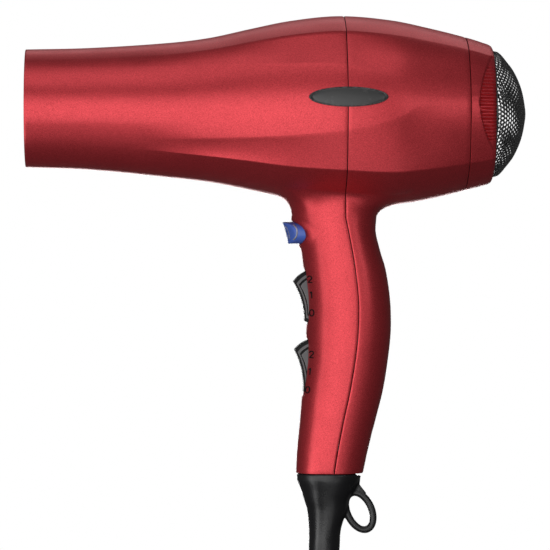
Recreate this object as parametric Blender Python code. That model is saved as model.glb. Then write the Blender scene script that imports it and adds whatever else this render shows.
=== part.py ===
"""Hand-held hair dryer, at rest. Metres. +Z up the handle, +X to the air intake, nozzle at -X.
The origin is the centre of the grip. Outlines below are in millimetres."""
import math

import bmesh
import bpy
from mathutils import Vector

for old in list(bpy.data.objects):
    bpy.data.objects.remove(old)

MM = 0.001
GAP = 0.3                      # between pieces that touch
WALL = 2.2                     # shell wall
NOZZLE_X = -138.5              # outlet rim
SEAM_X = -2.0                  # where the front and rear shells meet on the barrel
REAR_X = 50.2                  # back edge of the rear shell
RING_X = (50.5, 60.0, 61.6)    # twist ring: front, edge of chamfer, back
RING_R = 27.6                  # bore of the twist ring
SPIGOT_R = (27.6, 29.3)        # bayonet spigot of the ring
AXIS_Z = 96.2                  # motor and fan
HEAT_Z = 97.2                  # heater and outlet
RING_Z = 95.2                  # twist ring and grille
FAN_R = 28.2
SHAFT_R = 1.15
CORD_R = 3.5
HEAT_PIVOT = (-13.63, 16.64)
SPEED_PIVOT = (-13.52, -13.61)
ROCKER_HALF = 4.6              # half width of a rocker
BUTTON_Z = 43.9
BUTTON_HALF = (10.0, 4.75)
SCREW_Z = (34.4, -42.0)
BOOT_END = -116.0
HANK_X = -32.4
HANK_TOP = -145.0
HANK_SIZE = (50.0, 38.0, 156.0)
PLUG_X = -109.4
PLUG_Y = -10.0
PLUG_TOP = -178.0
PLUG_SIZE = (36.0, 31.0, 50.0)

# x, top and bottom of the barrel
BARREL = (
    (-138.5, 122.6, 72.0), (-111.0, 123.3, 71.0), (-76.5, 125.6, 67.7), (-59.3, 127.8, 65.7),
    (-42.1, 131.6, 62.4), (-24.9, 135.1, 58.9), (-4.0, 137.2, 56.7), (18.1, 135.5, 55.9),
    (35.3, 132.0, 58.6), (52.5, 127.7, 62.8), (60.0, 125.3, 64.8), (64.0, 124.2, 66.2),
)
# height, front, back and half width of the handle, and x of its seam
HANDLE = (
    (50.0, -24.1, 12.2, 16.8, -1.8), (44.3, -22.2, 12.0, 16.6, -0.6), (36.6, -20.2, 13.8, 16.4, 0.9),
    (28.0, -19.1, 16.3, 16.3, 2.3), (15.0, -17.8, 18.2, 16.2, 3.7), (2.2, -18.0, 18.5, 16.0, 3.6),
    (-10.0, -18.0, 17.3, 15.6, 2.4), (-23.7, -19.6, 15.1, 14.8, 0.2), (-36.0, -20.6, 12.0, 14.0, -2.4),
    (-49.5, -21.9, 8.6, 13.0, -5.0), (-59.3, -22.4, 6.5, 12.2, -6.5),
)
# x and radius of the domed intake grille
DOME = ((61.9, 27.0), (64.5, 26.2), (67.9, 22.6), (71.4, 18.0), (74.8, 11.0), (76.8, 2.6))
BAND = (0.0, 0.3, 0.6, 0.8)    # steps across the bottom band, as shares of its half width
SIDES = 24                     # points round a turned piece


# ---------------------------------------------------------------- helpers
def cubic(table, x, column):
    """Catmull-Rom value of one column of a table ordered by its first column."""
    rows = sorted(table)
    x = min(max(x, rows[0][0]), rows[-1][0])
    i = 0
    while i < len(rows) - 2 and x > rows[i + 1][0]:
        i += 1
    near = [rows[max(0, i - 1)], rows[i], rows[i + 1], rows[min(len(rows) - 1, i + 2)]]
    x0, x1, x2, x3 = (row[0] for row in near)
    y0, y1, y2, y3 = (row[column] for row in near)
    span = x2 - x1
    m1 = (y2 - y0) / (x2 - x0) * span
    m2 = (y3 - y1) / (x3 - x1) * span
    t = (x - x1) / span
    return ((2 * t**3 - 3 * t**2 + 1) * y1 + (t**3 - 2 * t**2 + t) * m1
            + (3 * t**2 - 2 * t**3) * y2 + (t**3 - t**2) * m2)


def material(name, colour, roughness, metallic=0.0):
    made = bpy.data.materials.new(name)
    made.use_nodes = True
    made.diffuse_color = (*colour, 1.0)
    shader = made.node_tree.nodes["Principled BSDF"]
    shader.inputs["Base Color"].default_value = (*colour, 1.0)
    shader.inputs["Roughness"].default_value = roughness
    shader.inputs["Metallic"].default_value = metallic
    return made


def piece(name, verts, faces, look, smooth=True, helper=False):
    """A closed mesh with its faces outwards, from millimetres."""
    data = bpy.data.meshes.new(name)
    data.from_pydata([Vector(v) * MM for v in verts], [], faces)
    work = bmesh.new()
    work.from_mesh(data)
    bmesh.ops.recalc_face_normals(work, faces=work.faces)
    work.to_mesh(data)
    work.free()
    if smooth:
        data.shade_smooth()
        data.set_sharp_from_angle(angle=math.radians(35))
    obj = bpy.data.objects.new(name, data)
    bpy.context.scene.collection.objects.link(obj)
    if look:
        data.materials.append(look)
    if helper:
        obj.hide_render = True
        obj.display_type = "WIRE"
    return obj


def combine(target, tool, operation):
    tool.hide_render = True
    tool.display_type = "WIRE"
    step = target.modifiers.new(tool.name, "BOOLEAN")
    step.operation = operation
    step.solver = "EXACT"
    step.object = tool


def loft(name, loops, look, smooth=True, helper=False):
    """Loops of equal count skinned in order, both ends capped."""
    count = len(loops[0])
    verts = [p for loop in loops for p in loop]
    faces = [
        (i * count + j, i * count + (j + 1) % count, (i + 1) * count + (j + 1) % count, (i + 1) * count + j)
        for i in range(len(loops) - 1)
        for j in range(count)
    ]
    faces.append(tuple(range(count)))
    faces.append(tuple(range((len(loops) - 1) * count, len(loops) * count)))
    return piece(name, verts, faces, look, smooth, helper)


def band(name, loops, look, smooth=True):
    """Loops of equal count skinned in order and back to the first: a ring with a hole."""
    count = len(loops[0])
    total = len(loops)
    verts = [p for loop in loops for p in loop]
    faces = [
        (i * count + j, i * count + (j + 1) % count,
         (i + 1) % total * count + (j + 1) % count, (i + 1) % total * count + j)
        for i in range(total)
        for j in range(count)
    ]
    return piece(name, verts, faces, look, smooth)


def circle_x(x, radius, height, sides=SIDES):
    return [
        (x, radius * math.sin(2 * math.pi * k / sides), height + radius * math.cos(2 * math.pi * k / sides))
        for k in range(sides)
    ]


def turned(name, profile, height, look, sides=SIDES, helper=False):
    return loft(name, [circle_x(x, r, height, sides) for x, r in profile], look, True, helper)


def turned_ring(name, profile, height, look, sides=SIDES):
    return band(name, [circle_x(x, r, height, sides) for x, r in profile], look)


def slab_y(name, outline, low, high, look, helper=False):
    return loft(name, [[(x, y, z) for x, z in outline] for y in (low, high)], look, True, helper)


def slab_x(name, outline, low, high, look, helper=False):
    return loft(name, [[(x, y, z) for y, z in outline] for x in (low, high)], look, True, helper)


def slab_z(name, outline, low, high, look, helper=False):
    return loft(name, [[(x, y, z) for x, y in outline] for z in (low, high)], look, True, helper)


def oval(a, b, power=2.0, count=24, centre=(0.0, 0.0)):
    points = []
    for k in range(count):
        c = math.cos(2 * math.pi * k / count)
        s = math.sin(2 * math.pi * k / count)
        points.append((
            centre[0] + a * math.copysign(abs(c) ** (2 / power), c),
            centre[1] + b * math.copysign(abs(s) ** (2 / power), s),
        ))
    return points


def rectangle(low_a, high_a, low_b, high_b):
    return [(low_a, low_b), (high_a, low_b), (high_a, high_b), (low_a, high_b)]


def tube(name, path, radius, look, sides=6):
    """A round tube along a path, its frame carried from point to point."""
    path = [Vector(p) for p in path]
    across = None
    loops = []
    for i, point in enumerate(path):
        along = (path[min(i + 1, len(path) - 1)] - path[max(i - 1, 0)]).normalized()
        if across is None:
            across = along.orthogonal().normalized()
        across = (across - along * across.dot(along)).normalized()
        other = along.cross(across)
        loops.append([
            tuple(point + radius * (across * math.cos(a) + other * math.sin(a)))
            for a in (2 * math.pi * k / sides for k in range(sides))
        ])
    return loft(name, loops, look)


def polar_plate(name, radii, sectors, solid, front, back, height, look, hub=True, twist=0.0):
    """Cells between rings and sectors, kept where solid(ring, sector) says, between two faces."""
    verts = []
    index = {}
    for side, face in ((0, front), (1, back)):
        for i, radius in enumerate(radii):
            for j in range(sectors):
                angle = 2 * math.pi * j / sectors + side * twist
                index[side, i, j] = len(verts)
                verts.append((
                    face(radius), radius * math.sin(angle), height + radius * math.cos(angle),
                ))

    def kept(i, j):
        if i < 0:
            return hub
        return i < len(radii) - 1 and bool(solid(i, j % sectors))

    faces = []
    if hub:
        faces.append(tuple(index[0, 0, j] for j in range(sectors)))
        faces.append(tuple(index[1, 0, j] for j in range(sectors)))
    for i in range(len(radii)):
        for j in range(sectors):
            nxt = (j + 1) % sectors
            if i < len(radii) - 1 and kept(i, j):
                for side in (0, 1):
                    faces.append((index[side, i, j], index[side, i, nxt],
                                  index[side, i + 1, nxt], index[side, i + 1, j]))
            if kept(i - 1, j) != kept(i, j):
                faces.append((index[0, i, j], index[0, i, nxt], index[1, i, nxt], index[1, i, j]))
            if i < len(radii) - 1 and kept(i, j) != kept(i, j - 1):
                faces.append((index[0, i, j], index[0, i + 1, j], index[1, i + 1, j], index[1, i, j]))
    return piece(name, verts, faces, look)


# ---------------------------------------------------------------- the skin of barrel and handle
def barrel_size(x):
    top = cubic(BARREL, x, 1)
    bottom = cubic(BARREL, x, 2)
    return (top + bottom) / 2, (top - bottom) / 2


def crease(x):
    """0 on the round nozzle, 1 where the top and bottom bands are fully formed."""
    t = min(max((x + 92.0) / 36.0, 0.0), 1.0)
    return t * t * (3 - 2 * t)


def barrel_half(x, side_steps, top_steps, grow=0.0):
    """Half the section at x, bottom centre to top centre, as (y, z)."""
    centre, radius = barrel_size(x)
    radius += grow
    low = math.asin(0.67 / 1.223)
    high = math.asin(0.795 / 1.05)
    low_turn = math.atan2(0.82, 0.67)
    high_turn = math.pi - math.atan2(0.64, 0.795)
    shape = []
    for share in BAND:
        shape.append((0.82 * share, -1.0 + 0.33 * share**2, low_turn * share))
    for k in range(side_steps + 1):
        share = k / side_steps
        angle = -low + (low + high) * share
        tall = 1.223 if angle < 0 else 1.05
        shape.append((0.98 * math.cos(angle), tall * math.sin(angle),
                      low_turn + (high_turn - low_turn) * share))
    for k in range(1, top_steps + 1):
        share = 1 - k / top_steps
        shape.append((0.64 * share, 1.0 - 0.205 * share**2,
                      math.pi - (math.pi - high_turn) * share))
    formed = crease(x)
    points = []
    for y, z, turn in shape:
        points.append((
            radius * (formed * y + (1 - formed) * math.sin(turn)),
            centre + radius * (formed * z - (1 - formed) * math.cos(turn)),
        ))
    return points


def barrel_loop(x, side_steps, top_steps, grow=0.0):
    half = barrel_half(x, side_steps, top_steps, grow)
    return [(x, y, z) for y, z in half] + [(x, -y, z) for y, z in half[-2:0:-1]]


def barrel_y(x, z):
    """Half width of the barrel's side at a height between its creases."""
    centre, radius = barrel_size(x)
    rise = (z - centre) / radius
    tall = 1.223 if rise < 0 else 1.05
    return 0.98 * radius * math.sqrt(max(0.0, 1 - (rise / tall) ** 2))


def under(x, y):
    """Height of the barrel's bottom band."""
    centre, radius = barrel_size(x)
    return centre - radius + 0.33 * radius * (y / (0.82 * radius)) ** 2


def handle_point(z, u, v):
    """Point of the handle's section for a point of the unit square's edge."""
    front, back, half, seam = (cubic(HANDLE, z, k) for k in (1, 2, 3, 4))
    along = u * math.sqrt(1 - v * v / 2)
    across = v * math.sqrt(1 - u * u / 2)
    reach = seam - front if along < 0 else back - seam
    return (
        seam + reach * math.copysign(abs(along) ** (2 / 2.2), along),
        half * math.copysign(abs(across) ** (2 / 2.2), across),
        z,
    )


def skin(stations, hole, side_steps, top_steps, collar_steps, levels):
    """The outer skin: its points, its faces as (front half?, corners), and the points on flat ends."""
    loops = [barrel_loop(x, side_steps, top_steps) for x in stations]
    count = len(loops[0])
    verts = [Vector(p) for loop in loops for p in loop]
    seam = stations.index(SEAM_X)
    first, last = stations.index(hole[0]), stations.index(hole[1])
    faces = []
    for i in range(len(stations) - 1):
        for j in range(count):
            if first <= i < last and (j < 2 or j >= count - 2):
                continue
            nxt = (j + 1) % count
            corners = (i * count + j, i * count + nxt, (i + 1) * count + nxt, (i + 1) * count + j)
            faces.append((i < seam, corners))
    rim = [(i, 2) for i in range(first, last)] + [(last, j) for j in (2, 1, 0, -1)]
    rim += [(i, -2) for i in range(last, first, -1)] + [(first, j) for j in (-2, -1, 0, 1)]
    square = []
    for i, j in rim:
        reach = SEAM_X - hole[0] if i < seam else hole[1] - SEAM_X
        square.append(((stations[i] - SEAM_X) / reach, j / 2))
    level = [i * count + j % count for i, j in rim]
    neck = [Vector(handle_point(levels[0], u, v)) for u, v in square]
    held = {}
    for index, (i, _) in enumerate(rim):
        if i == seam:
            held[index] = True
    rows = []
    for step in range(1, collar_steps + 1):
        t = step / (collar_steps + 1)
        row = []
        for k, end in enumerate(neck):
            start = verts[level[k]]
            bend = Vector((end.x, end.y, under(end.x, end.y)))
            row.append(start * (1 - t) ** 2 + bend * 2 * t * (1 - t) + end * t * t)
        rows.append(row)
    for z in levels:
        rows.append([Vector(handle_point(z, u, v)) for u, v in square])
    seam_points = {i for i in range(seam * count, (seam + 1) * count)}
    for row in rows:
        base = len(verts)
        verts.extend(row)
        fresh = list(range(base, base + len(row)))
        for k in range(len(row)):
            nxt = (k + 1) % len(row)
            is_front = square[k][0] + square[nxt][0] < 0
            faces.append((is_front, (level[k], level[nxt], fresh[nxt], fresh[k])))
            if k in held:
                seam_points.add(fresh[k])
        level = fresh
    ends = {"x": set(range(count)) | set(range((len(stations) - 1) * count, len(stations) * count)),
            "z": set(level), "seam": seam_points}
    return verts, faces, ends


def shell(name, skinned, want_front, look):
    """One half of the housing: outer skin, inner skin a wall inside it, joined along every edge."""
    verts, faces, ends = skinned
    whole = bpy.data.meshes.new(name + "_skin")
    whole.from_pydata(verts, [], [corners for _, corners in faces])
    work = bmesh.new()
    work.from_mesh(whole)
    bmesh.ops.recalc_face_normals(work, faces=work.faces)
    work.verts.ensure_lookup_table()
    normals = [v.normal.copy() for v in work.verts]
    if normals[0].z > 0:
        normals = [-n for n in normals]
    work.free()
    bpy.data.meshes.remove(whole)
    shift = -GAP / 2 if want_front else GAP / 2
    outer = []
    inner = []
    for k, point in enumerate(verts):
        into = normals[k].copy()
        if k in ends["x"] or k in ends["seam"]:
            into.x = 0.0
        if k in ends["z"]:
            into.z = 0.0
        into.normalize()
        moved = point + Vector((shift, 0, 0)) if k in ends["seam"] else point
        outer.append(moved)
        inner.append(moved - into * WALL)
    mine = [corners for is_front, corners in faces if is_front == want_front]
    used = sorted({k for corners in mine for k in corners})
    place = {k: n for n, k in enumerate(used)}
    size = len(used)
    points = [outer[k] for k in used] + [inner[k] for k in used]
    built = []
    edges = {}
    for corners in mine:
        local = [place[k] for k in corners]
        built.append(tuple(local))
        built.append(tuple(size + k for k in reversed(local)))
        for a, b in zip(local, local[1:] + local[:1]):
            key = (min(a, b), max(a, b))
            edges[key] = edges.get(key, 0) + 1
    for (a, b), times in edges.items():
        if times == 1:
            built.append((a, b, size + b, size + a))
    return piece(name, points, built, look)


# ---------------------------------------------------------------- materials
RED = material("red_gloss_shell", (0.52, 0.035, 0.045), 0.28, 0.35)
BLACK = material("black_plastic", (0.02, 0.02, 0.022), 0.45)
GREY = material("grey_rocker", (0.07, 0.07, 0.072), 0.4)
BLUE = material("blue_button", (0.05, 0.09, 0.36), 0.4)
PLATE = material("badge_grey", (0.05, 0.05, 0.05), 0.35, 0.4)
RUBBER = material("black_rubber", (0.015, 0.015, 0.016), 0.6)
MESH = material("filter_mesh", (0.06, 0.06, 0.06), 0.7)
MICA = material("mica", (0.62, 0.55, 0.40), 0.6)
WIRE = material("resistance_wire", (0.45, 0.42, 0.38), 0.35, 1.0)
STEEL = material("steel", (0.56, 0.56, 0.58), 0.3, 1.0)
BRASS = material("brass", (0.72, 0.55, 0.28), 0.3, 1.0)
COPPER = material("copper_winding", (0.72, 0.33, 0.18), 0.35, 1.0)
BOARD = material("circuit_board", (0.04, 0.20, 0.09), 0.5)
HOUSING = material("heat_resistant_grey", (0.16, 0.16, 0.17), 0.55)
SWITCH = material("switch_black", (0.03, 0.03, 0.03), 0.5)
RED_WIRE = material("wire_red", (0.5, 0.03, 0.03), 0.5)
WHITE_WIRE = material("wire_white", (0.75, 0.74, 0.7), 0.5)
WHITE = material("white_plastic", (0.75, 0.75, 0.73), 0.4)


# ---------------------------------------------------------------- housing
def rocker_window(name, pivot, half):
    """A slot as wide as the rocker, with a wider pocket behind the lip for the switch body."""
    slot = rectangle(-40.0, pivot[0] + 4.0, pivot[1] - half, pivot[1] + half)
    pocket = rectangle(-15.5, pivot[0] + 4.0, pivot[1] - half, pivot[1] + half)
    window = slab_y(name, slot, -ROCKER_HALF - 0.35, ROCKER_HALF + 0.35, None, True)
    combine(window, slab_y(name + "_pocket", pocket, -6.8, 6.8, None, True), "UNION")
    return window


def housings():
    stations = [-138.5, -122.0, -105.0, -88.0, -72.0, -58.0, -44.0, -32.0, -25.0, -17.0, -9.0, SEAM_X,
                5.0, 12.0, 19.0, 28.0, 36.0, 44.0, REAR_X]
    levels = [50.0, 43.0, 36.0, 27.0, 15.0, 2.0, -12.0, -26.0, -40.0, -51.0, -59.3]
    skinned = skin(stations, (-32.0, 28.0), 6, 3, 2, levels)
    front = shell("front_housing", skinned, True, RED)
    rear = shell("rear_housing", skinned, False, RED)
    combine(front, rocker_window("heat_window", HEAT_PIVOT, 12.25), "DIFFERENCE")
    combine(front, rocker_window("speed_window", SPEED_PIVOT, 12.55), "DIFFERENCE")
    hole = oval(BUTTON_HALF[0] + 0.35, BUTTON_HALF[1] + 0.35, 2.4, 24, (0.0, BUTTON_Z))
    combine(front, slab_x("button_hole", hole, -40.0, -12.0, None, True), "DIFFERENCE")
    for name, z in zip(("upper", "lower"), SCREW_Z):
        seam = cubic(HANDLE, z, 4)
        front_in = cubic(HANDLE, z, 1) + 1.2
        back_in = cubic(HANDLE, z, 2)
        combine(front, turned(name + "_front_boss", [(front_in, 2.9), (seam - 0.6, 2.9)], z, None, 12, True),
                "UNION")
        combine(front, turned(name + "_pilot", [(seam - 13.0, 1.3), (seam + 2.0, 1.3)], z, None, 12, True),
                "DIFFERENCE")
        combine(rear, turned(name + "_rear_boss", [(seam + 0.6, 4.2), (back_in - 1.2, 4.2)], z, None, 16, True),
                "UNION")
        combine(rear, turned(name + "_clear", [(seam - 2.0, 1.7), (back_in - 4.0, 1.7)], z, None, 12, True),
                "DIFFERENCE")
        combine(rear, turned(name + "_bore", [(seam + 3.4, 3.2), (back_in + 8.0, 3.2)], z, None, 16, True),
                "DIFFERENCE")


def shell_screws():
    for name, z in zip(("upper", "lower"), SCREW_Z):
        seat = cubic(HANDLE, z, 4) + 3.4 + 0.1
        profile = [(seat - 14.0, 0.5), (seat - 12.6, 1.15), (seat, 1.15), (seat, 2.9), (seat + 1.8, 2.9)]
        turned("shell_screw_" + name, profile, z, STEEL, 12)


def badges():
    outline = oval(16.7, 4.25, 2.0, 24, (-1.8, 100.6))
    ring = oval(10.0, 2.2, 2.0, 24, (-1.8, 100.6))
    for name, sign in (("badge_left", -1), ("badge_right", 1)):
        loops = [
            [(x, sign * (barrel_y(x, z) + out), z) for x, z in shape]
            for shape, out in ((ring, 0.35), (outline, 0.35), (outline, 0.75), (ring, 0.95))
        ]
        loft(name, loops, PLATE)


# ---------------------------------------------------------------- air intake
def intake_ring():
    loops = [barrel_loop(x, 6, 3) for x in (RING_X[0], 55.0, RING_X[1])]
    sides = len(loops[0])

    def bore(x, radius):
        points = []
        for _, y, z in loops[0]:
            turn = math.atan2(y, z - RING_Z)
            points.append((x, radius * math.sin(turn), RING_Z + radius * math.cos(turn)))
        return points

    back = [(RING_X[2], y * 0.955, RING_Z + (z - RING_Z) * 0.955) for _, y, z in loops[2]]
    loops.append(back)
    loops.append(bore(RING_X[2], RING_R))
    loops.append(bore(46.0, SPIGOT_R[0]))
    loops.append(bore(46.0, SPIGOT_R[1]))
    loops.append(bore(RING_X[0], SPIGOT_R[1]))
    assert all(len(loop) == sides for loop in loops)
    return band("intake_ring", loops, RED)


def intake_grille():
    radii = [3.0, 5.5, 8.0, 10.5, 13.0, 15.5, 18.0, 20.5, 23.0, 27.0]
    rows = [(r, x) for x, r in DOME]

    def skin_x(radius):
        return cubic(rows, radius, 1)

    def kept(i, j):
        return i % 2 == 1 or i == 8 or j % 2 == 0

    return polar_plate("intake_grille", radii, 32, kept, lambda r: skin_x(r) - 1.0, skin_x, RING_Z, BLACK)


def lint_filter():
    def kept(i, j):
        return i == 0 or i == 2 or j % 4 == 0

    polar_plate("filter_frame", [6.0, 8.0, 24.6, 26.9], 24, kept, lambda r: 54.4, lambda r: 56.4, RING_Z,
                BLACK, hub=False)
    turned("lint_filter", [(53.3, 26.4), (53.9, 26.4)], RING_Z, MESH)


# ---------------------------------------------------------------- controls
def rocker_outline(pivot, tilt, half, reach=7.9):
    radius = math.hypot(half, reach)
    start = math.atan2(half, reach)
    local = [(reach, half), (reach - 0.75, half * 0.5), (reach - 1.1, 0.0), (reach - 0.75, -half * 0.5)]
    local.append((reach, -half))
    for share in (0.35, 0.7, 1.0):
        turn = start + (math.radians(96) - start) * share
        local.append((radius * math.cos(turn), -radius * math.sin(turn)))
    local.append((-2.6, -5.0))
    local.append((-2.6, 5.0))
    for share in (1.0, 0.7, 0.35):
        turn = start + (math.radians(96) - start) * share
        local.append((radius * math.cos(turn), radius * math.sin(turn)))
    c, s = math.cos(tilt), math.sin(tilt)
    return [(pivot[0] - a * c - b * s, pivot[1] - a * s + b * c) for a, b in local]


def pin_y(name, pivot, radius, half, sides):
    loops = [
        [(pivot[0] + radius * math.cos(2 * math.pi * k / sides), y,
          pivot[1] + radius * math.sin(2 * math.pi * k / sides)) for k in range(sides)]
        for y in (-half, half)
    ]
    return loft(name, loops, None, True, True)


def rocker(name, pivot, tilt, half):
    body = slab_y(name, rocker_outline(pivot, tilt, half), -ROCKER_HALF, ROCKER_HALF, GREY)
    combine(body, pin_y(name + "_pin", pivot, 1.0, 6.0, 12), "UNION")
    origin = Vector((pivot[0], 0, pivot[1])) * MM
    for vertex in body.data.vertices:
        vertex.co -= origin
    body.location = origin


def switch_body(name, pivot, half):
    outline = [(-15.2, -6.5), (1.0, -6.5), (1.0, 6.5), (-15.2, 6.5), (-15.2, 4.9), (-1.6, 4.9), (-1.6, -4.9),
               (-15.2, -4.9)]
    body = slab_z(name, outline, pivot[1] - half, pivot[1] + half, SWITCH)
    combine(body, pin_y(name + "_bearing", pivot, 1.08, 12.0, 24), "DIFFERENCE")


def rocker_switches():
    rocker("heat_rocker", HEAT_PIVOT, math.radians(15.6), 8.8)
    rocker("speed_rocker", SPEED_PIVOT, math.radians(12.1), 9.2)
    switch_body("heat_switch_body", HEAT_PIVOT, 11.95)
    switch_body("speed_switch_body", SPEED_PIVOT, 12.25)


def cool_shot():
    outline = oval(BUTTON_HALF[0], BUTTON_HALF[1], 2.4, 24, (0.0, BUTTON_Z))
    inner = oval(BUTTON_HALF[0] * 0.6, BUTTON_HALF[1] * 0.6, 2.2, 24, (0.0, BUTTON_Z))

    def face(y, z):
        return -28.3 + 0.26 * (BUTTON_Z + BUTTON_HALF[1] - z) + y * y / 24.0

    loops = [[(-14.6, y, z) for y, z in outline]]
    loops.append([(face(y, z) + 0.5, y, z) for y, z in outline])
    loops.append([(face(y, z), y * 0.94, BUTTON_Z + (z - BUTTON_Z) * 0.9) for y, z in outline])
    loops.append([(face(y, z), y, z) for y, z in inner])
    button = loft("cool_shot_button", loops, BLUE)
    stem = turned("button_stem", [(-16.0, 2.0), (-10.2, 2.0)], BUTTON_Z, None, 12, True)
    combine(button, stem, "UNION")
    slab_x("cool_shot_switch", rectangle(-5.0, 5.0, BUTTON_Z - 5.0, BUTTON_Z + 5.0), -7.2, 1.5, SWITCH)
    turns = 4
    path = []
    for k in range(turns * 8 + 1):
        turn = 2 * math.pi * k / 8
        x = -13.9 + 6.0 * k / (turns * 8)
        path.append((x, 3.3 * math.cos(turn), BUTTON_Z + 3.3 * math.sin(turn)))
    tube("cool_shot_spring", path, 0.32, STEEL, 5)


# ---------------------------------------------------------------- heater and outlet
def outlet_grille():
    def kept(i, j):
        return i in (1, 3) or j % 3 == 0

    polar_plate("outlet_grille", [3.0, 9.4, 10.9, 21.3, 22.8], 24, kept, lambda r: -130.0, lambda r: -127.2,
                HEAT_Z, HOUSING)


def heater():
    band("mica_tube", [circle_x(x, r, HEAT_Z) for x, r in
                       ((-124.0, 22.3), (-30.0, 22.3), (-30.0, 21.9), (-124.0, 21.9))], MICA)
    high, low = HEAT_Z + 17.8, HEAT_Z - 17.8
    middle = -73.0
    upright = [(-118.0, low), (-31.0, low), (-31.0, high), (-118.0, high), (-118.0, HEAT_Z + 0.7),
               (middle, HEAT_Z + 0.7), (middle, HEAT_Z - 0.7), (-118.0, HEAT_Z - 0.7)]
    slab_y("mica_board_upright", upright, -0.4, 0.4, MICA)
    flat = [(-118.0, -17.8), (-31.0, -17.8), (-31.0, -0.7), (middle - 0.3, -0.7), (middle - 0.3, 0.7),
            (-31.0, 0.7), (-31.0, 17.8), (-118.0, 17.8)]
    slab_z("mica_board_level", flat, HEAT_Z - 0.4, HEAT_Z + 0.4, MICA)
    for name, start in (("heating_coil_front", -112.0), ("heating_coil_rear", -68.0)):
        path = []
        for k in range(29):
            turn = math.pi / 2 * k
            path.append((start + 32.0 * k / 28, 18.75 * math.sin(turn), HEAT_Z + 18.75 * math.cos(turn)))
        tube(name, path, 0.4, WIRE, 4)
    slab_y("thermostat", oval(4.2, 4.2, 2.0, 16, (-42.0, HEAT_Z + 6.0)), 0.8, 3.4, BRASS)
    slab_y("thermal_fuse", oval(5.0, 1.6, 4.0, 12, (-58.0, HEAT_Z - 5.0)), 0.8, 3.6, STEEL)


# ---------------------------------------------------------------- motor and fan
def motor():
    turned_ring("motor_can", [(-15.0, 14.2), (20.6, 14.2), (20.6, 2.9), (19.6, 2.9), (19.6, 13.2), (-15.0, 13.2)],
                AXIS_Z, STEEL)
    turned_ring("motor_end_cap", [(-17.6, 13.8), (-15.3, 14.2), (-15.3, 2.9), (-17.6, 2.9)], AXIS_Z, SWITCH)
    for name, start in (("bearing_front", -17.4), ("bearing_rear", 19.2)):
        turned_ring(name, [(start, 2.6), (start + 2.2, 2.6), (start + 2.2, SHAFT_R + 0.05),
                           (start, SHAFT_R + 0.05)], AXIS_Z, BRASS)
    turned("motor_shaft", [(-18.6, SHAFT_R), (37.0, SHAFT_R)], AXIS_Z, STEEL, 24)

    def slotted(radius, x):
        loop = []
        for k in range(36):
            turn = 2 * math.pi * k / 36
            size = radius if k % 6 not in (0, 1) else radius * 0.72
            loop.append((x, size * math.sin(turn), AXIS_Z + size * math.cos(turn)))
        return loop

    core = [(x, (SHAFT_R + 0.06)) for x in (-8.0, 14.0)]
    loops = [slotted(12.2, -8.0), slotted(12.2, 14.0)]
    loops += [circle_x(x, r, AXIS_Z, 36) for x, r in reversed(core)]
    band("armature", loops, COPPER)
    turned_ring("commutator", [(-13.6, 4.2), (-8.6, 4.2), (-8.6, SHAFT_R + 0.06), (-13.6, SHAFT_R + 0.06)],
                AXIS_Z, COPPER)
    turned_ring("rectifier_board", [(-22.4, 11.5), (-20.9, 11.5), (-20.9, 2.4), (-22.4, 2.4)], AXIS_Z, BOARD)


def impeller():
    blades = 7
    loops = []
    for step in range(4):
        x = 25.0 + 12.0 * step / 3
        loop = []
        for blade in range(blades):
            base = 2 * math.pi * blade / blades + math.radians(36) * step / 3
            for radius, turn in ((8.0, -0.16), (18.0, -0.05), (FAN_R, -0.035), (FAN_R, 0.035), (18.0, 0.05),
                                 (8.0, 0.16)):
                angle = base + turn
                loop.append((x, radius * math.sin(angle), AXIS_Z + radius * math.cos(angle)))
        loops.append(loop)
    fan = loft("impeller", loops, BLACK)
    bore = turned("fan_bore", [(20.0, SHAFT_R + 0.06), (45.0, SHAFT_R + 0.06)], AXIS_Z, None, 24, True)
    combine(fan, bore, "DIFFERENCE")


def air_duct():
    def kept(i, j):
        return i in (0, 2) or j % 4 == 0

    polar_plate("motor_mount", [14.5, 16.2, 29.2, 30.4], 32, kept, lambda r: -6.0, lambda r: 20.4, AXIS_Z,
                HOUSING, hub=False, twist=0.18)
    turned_ring("fan_shroud", [(20.8, 30.4), (44.5, 30.4), (44.5, 29.0), (20.8, 29.0)], AXIS_Z, HOUSING, 32)


# ---------------------------------------------------------------- wiring, boot, cord and plug
def leads():
    for name, side, look in (("supply_lead_live", -1, RED_WIRE), ("supply_lead_neutral", 1, WHITE_WIRE)):
        tube(name, [(-7.0, side * 5.4, -44.5), (0.0, side * 5.8, -36.0), (3.8, side * 6.0, -29.0),
                    (3.8, side * 6.0, -8.0)], 1.0, look)
    tube("heater_lead", [(4.0, -6.6, 10.0), (5.0, -6.6, 36.0), (3.0, -6.6, 50.0), (-10.0, -6.6, 60.0),
                         (-24.0, -5.0, 70.0), (-28.0, -3.0, 84.0)], 1.0, RED_WIRE)
    tube("motor_lead", [(4.0, 6.6, 10.0), (5.0, 6.6, 36.0), (3.0, 6.6, 50.0), (-10.0, 6.6, 58.0),
                        (-24.5, 5.0, 74.0), (-24.5, 4.0, 88.0)], 1.0, WHITE_WIRE)
    slab_z("cord_clamp", rectangle(-14.0, -2.0, -7.0, 7.0), -49.6, -46.6, STEEL)


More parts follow.
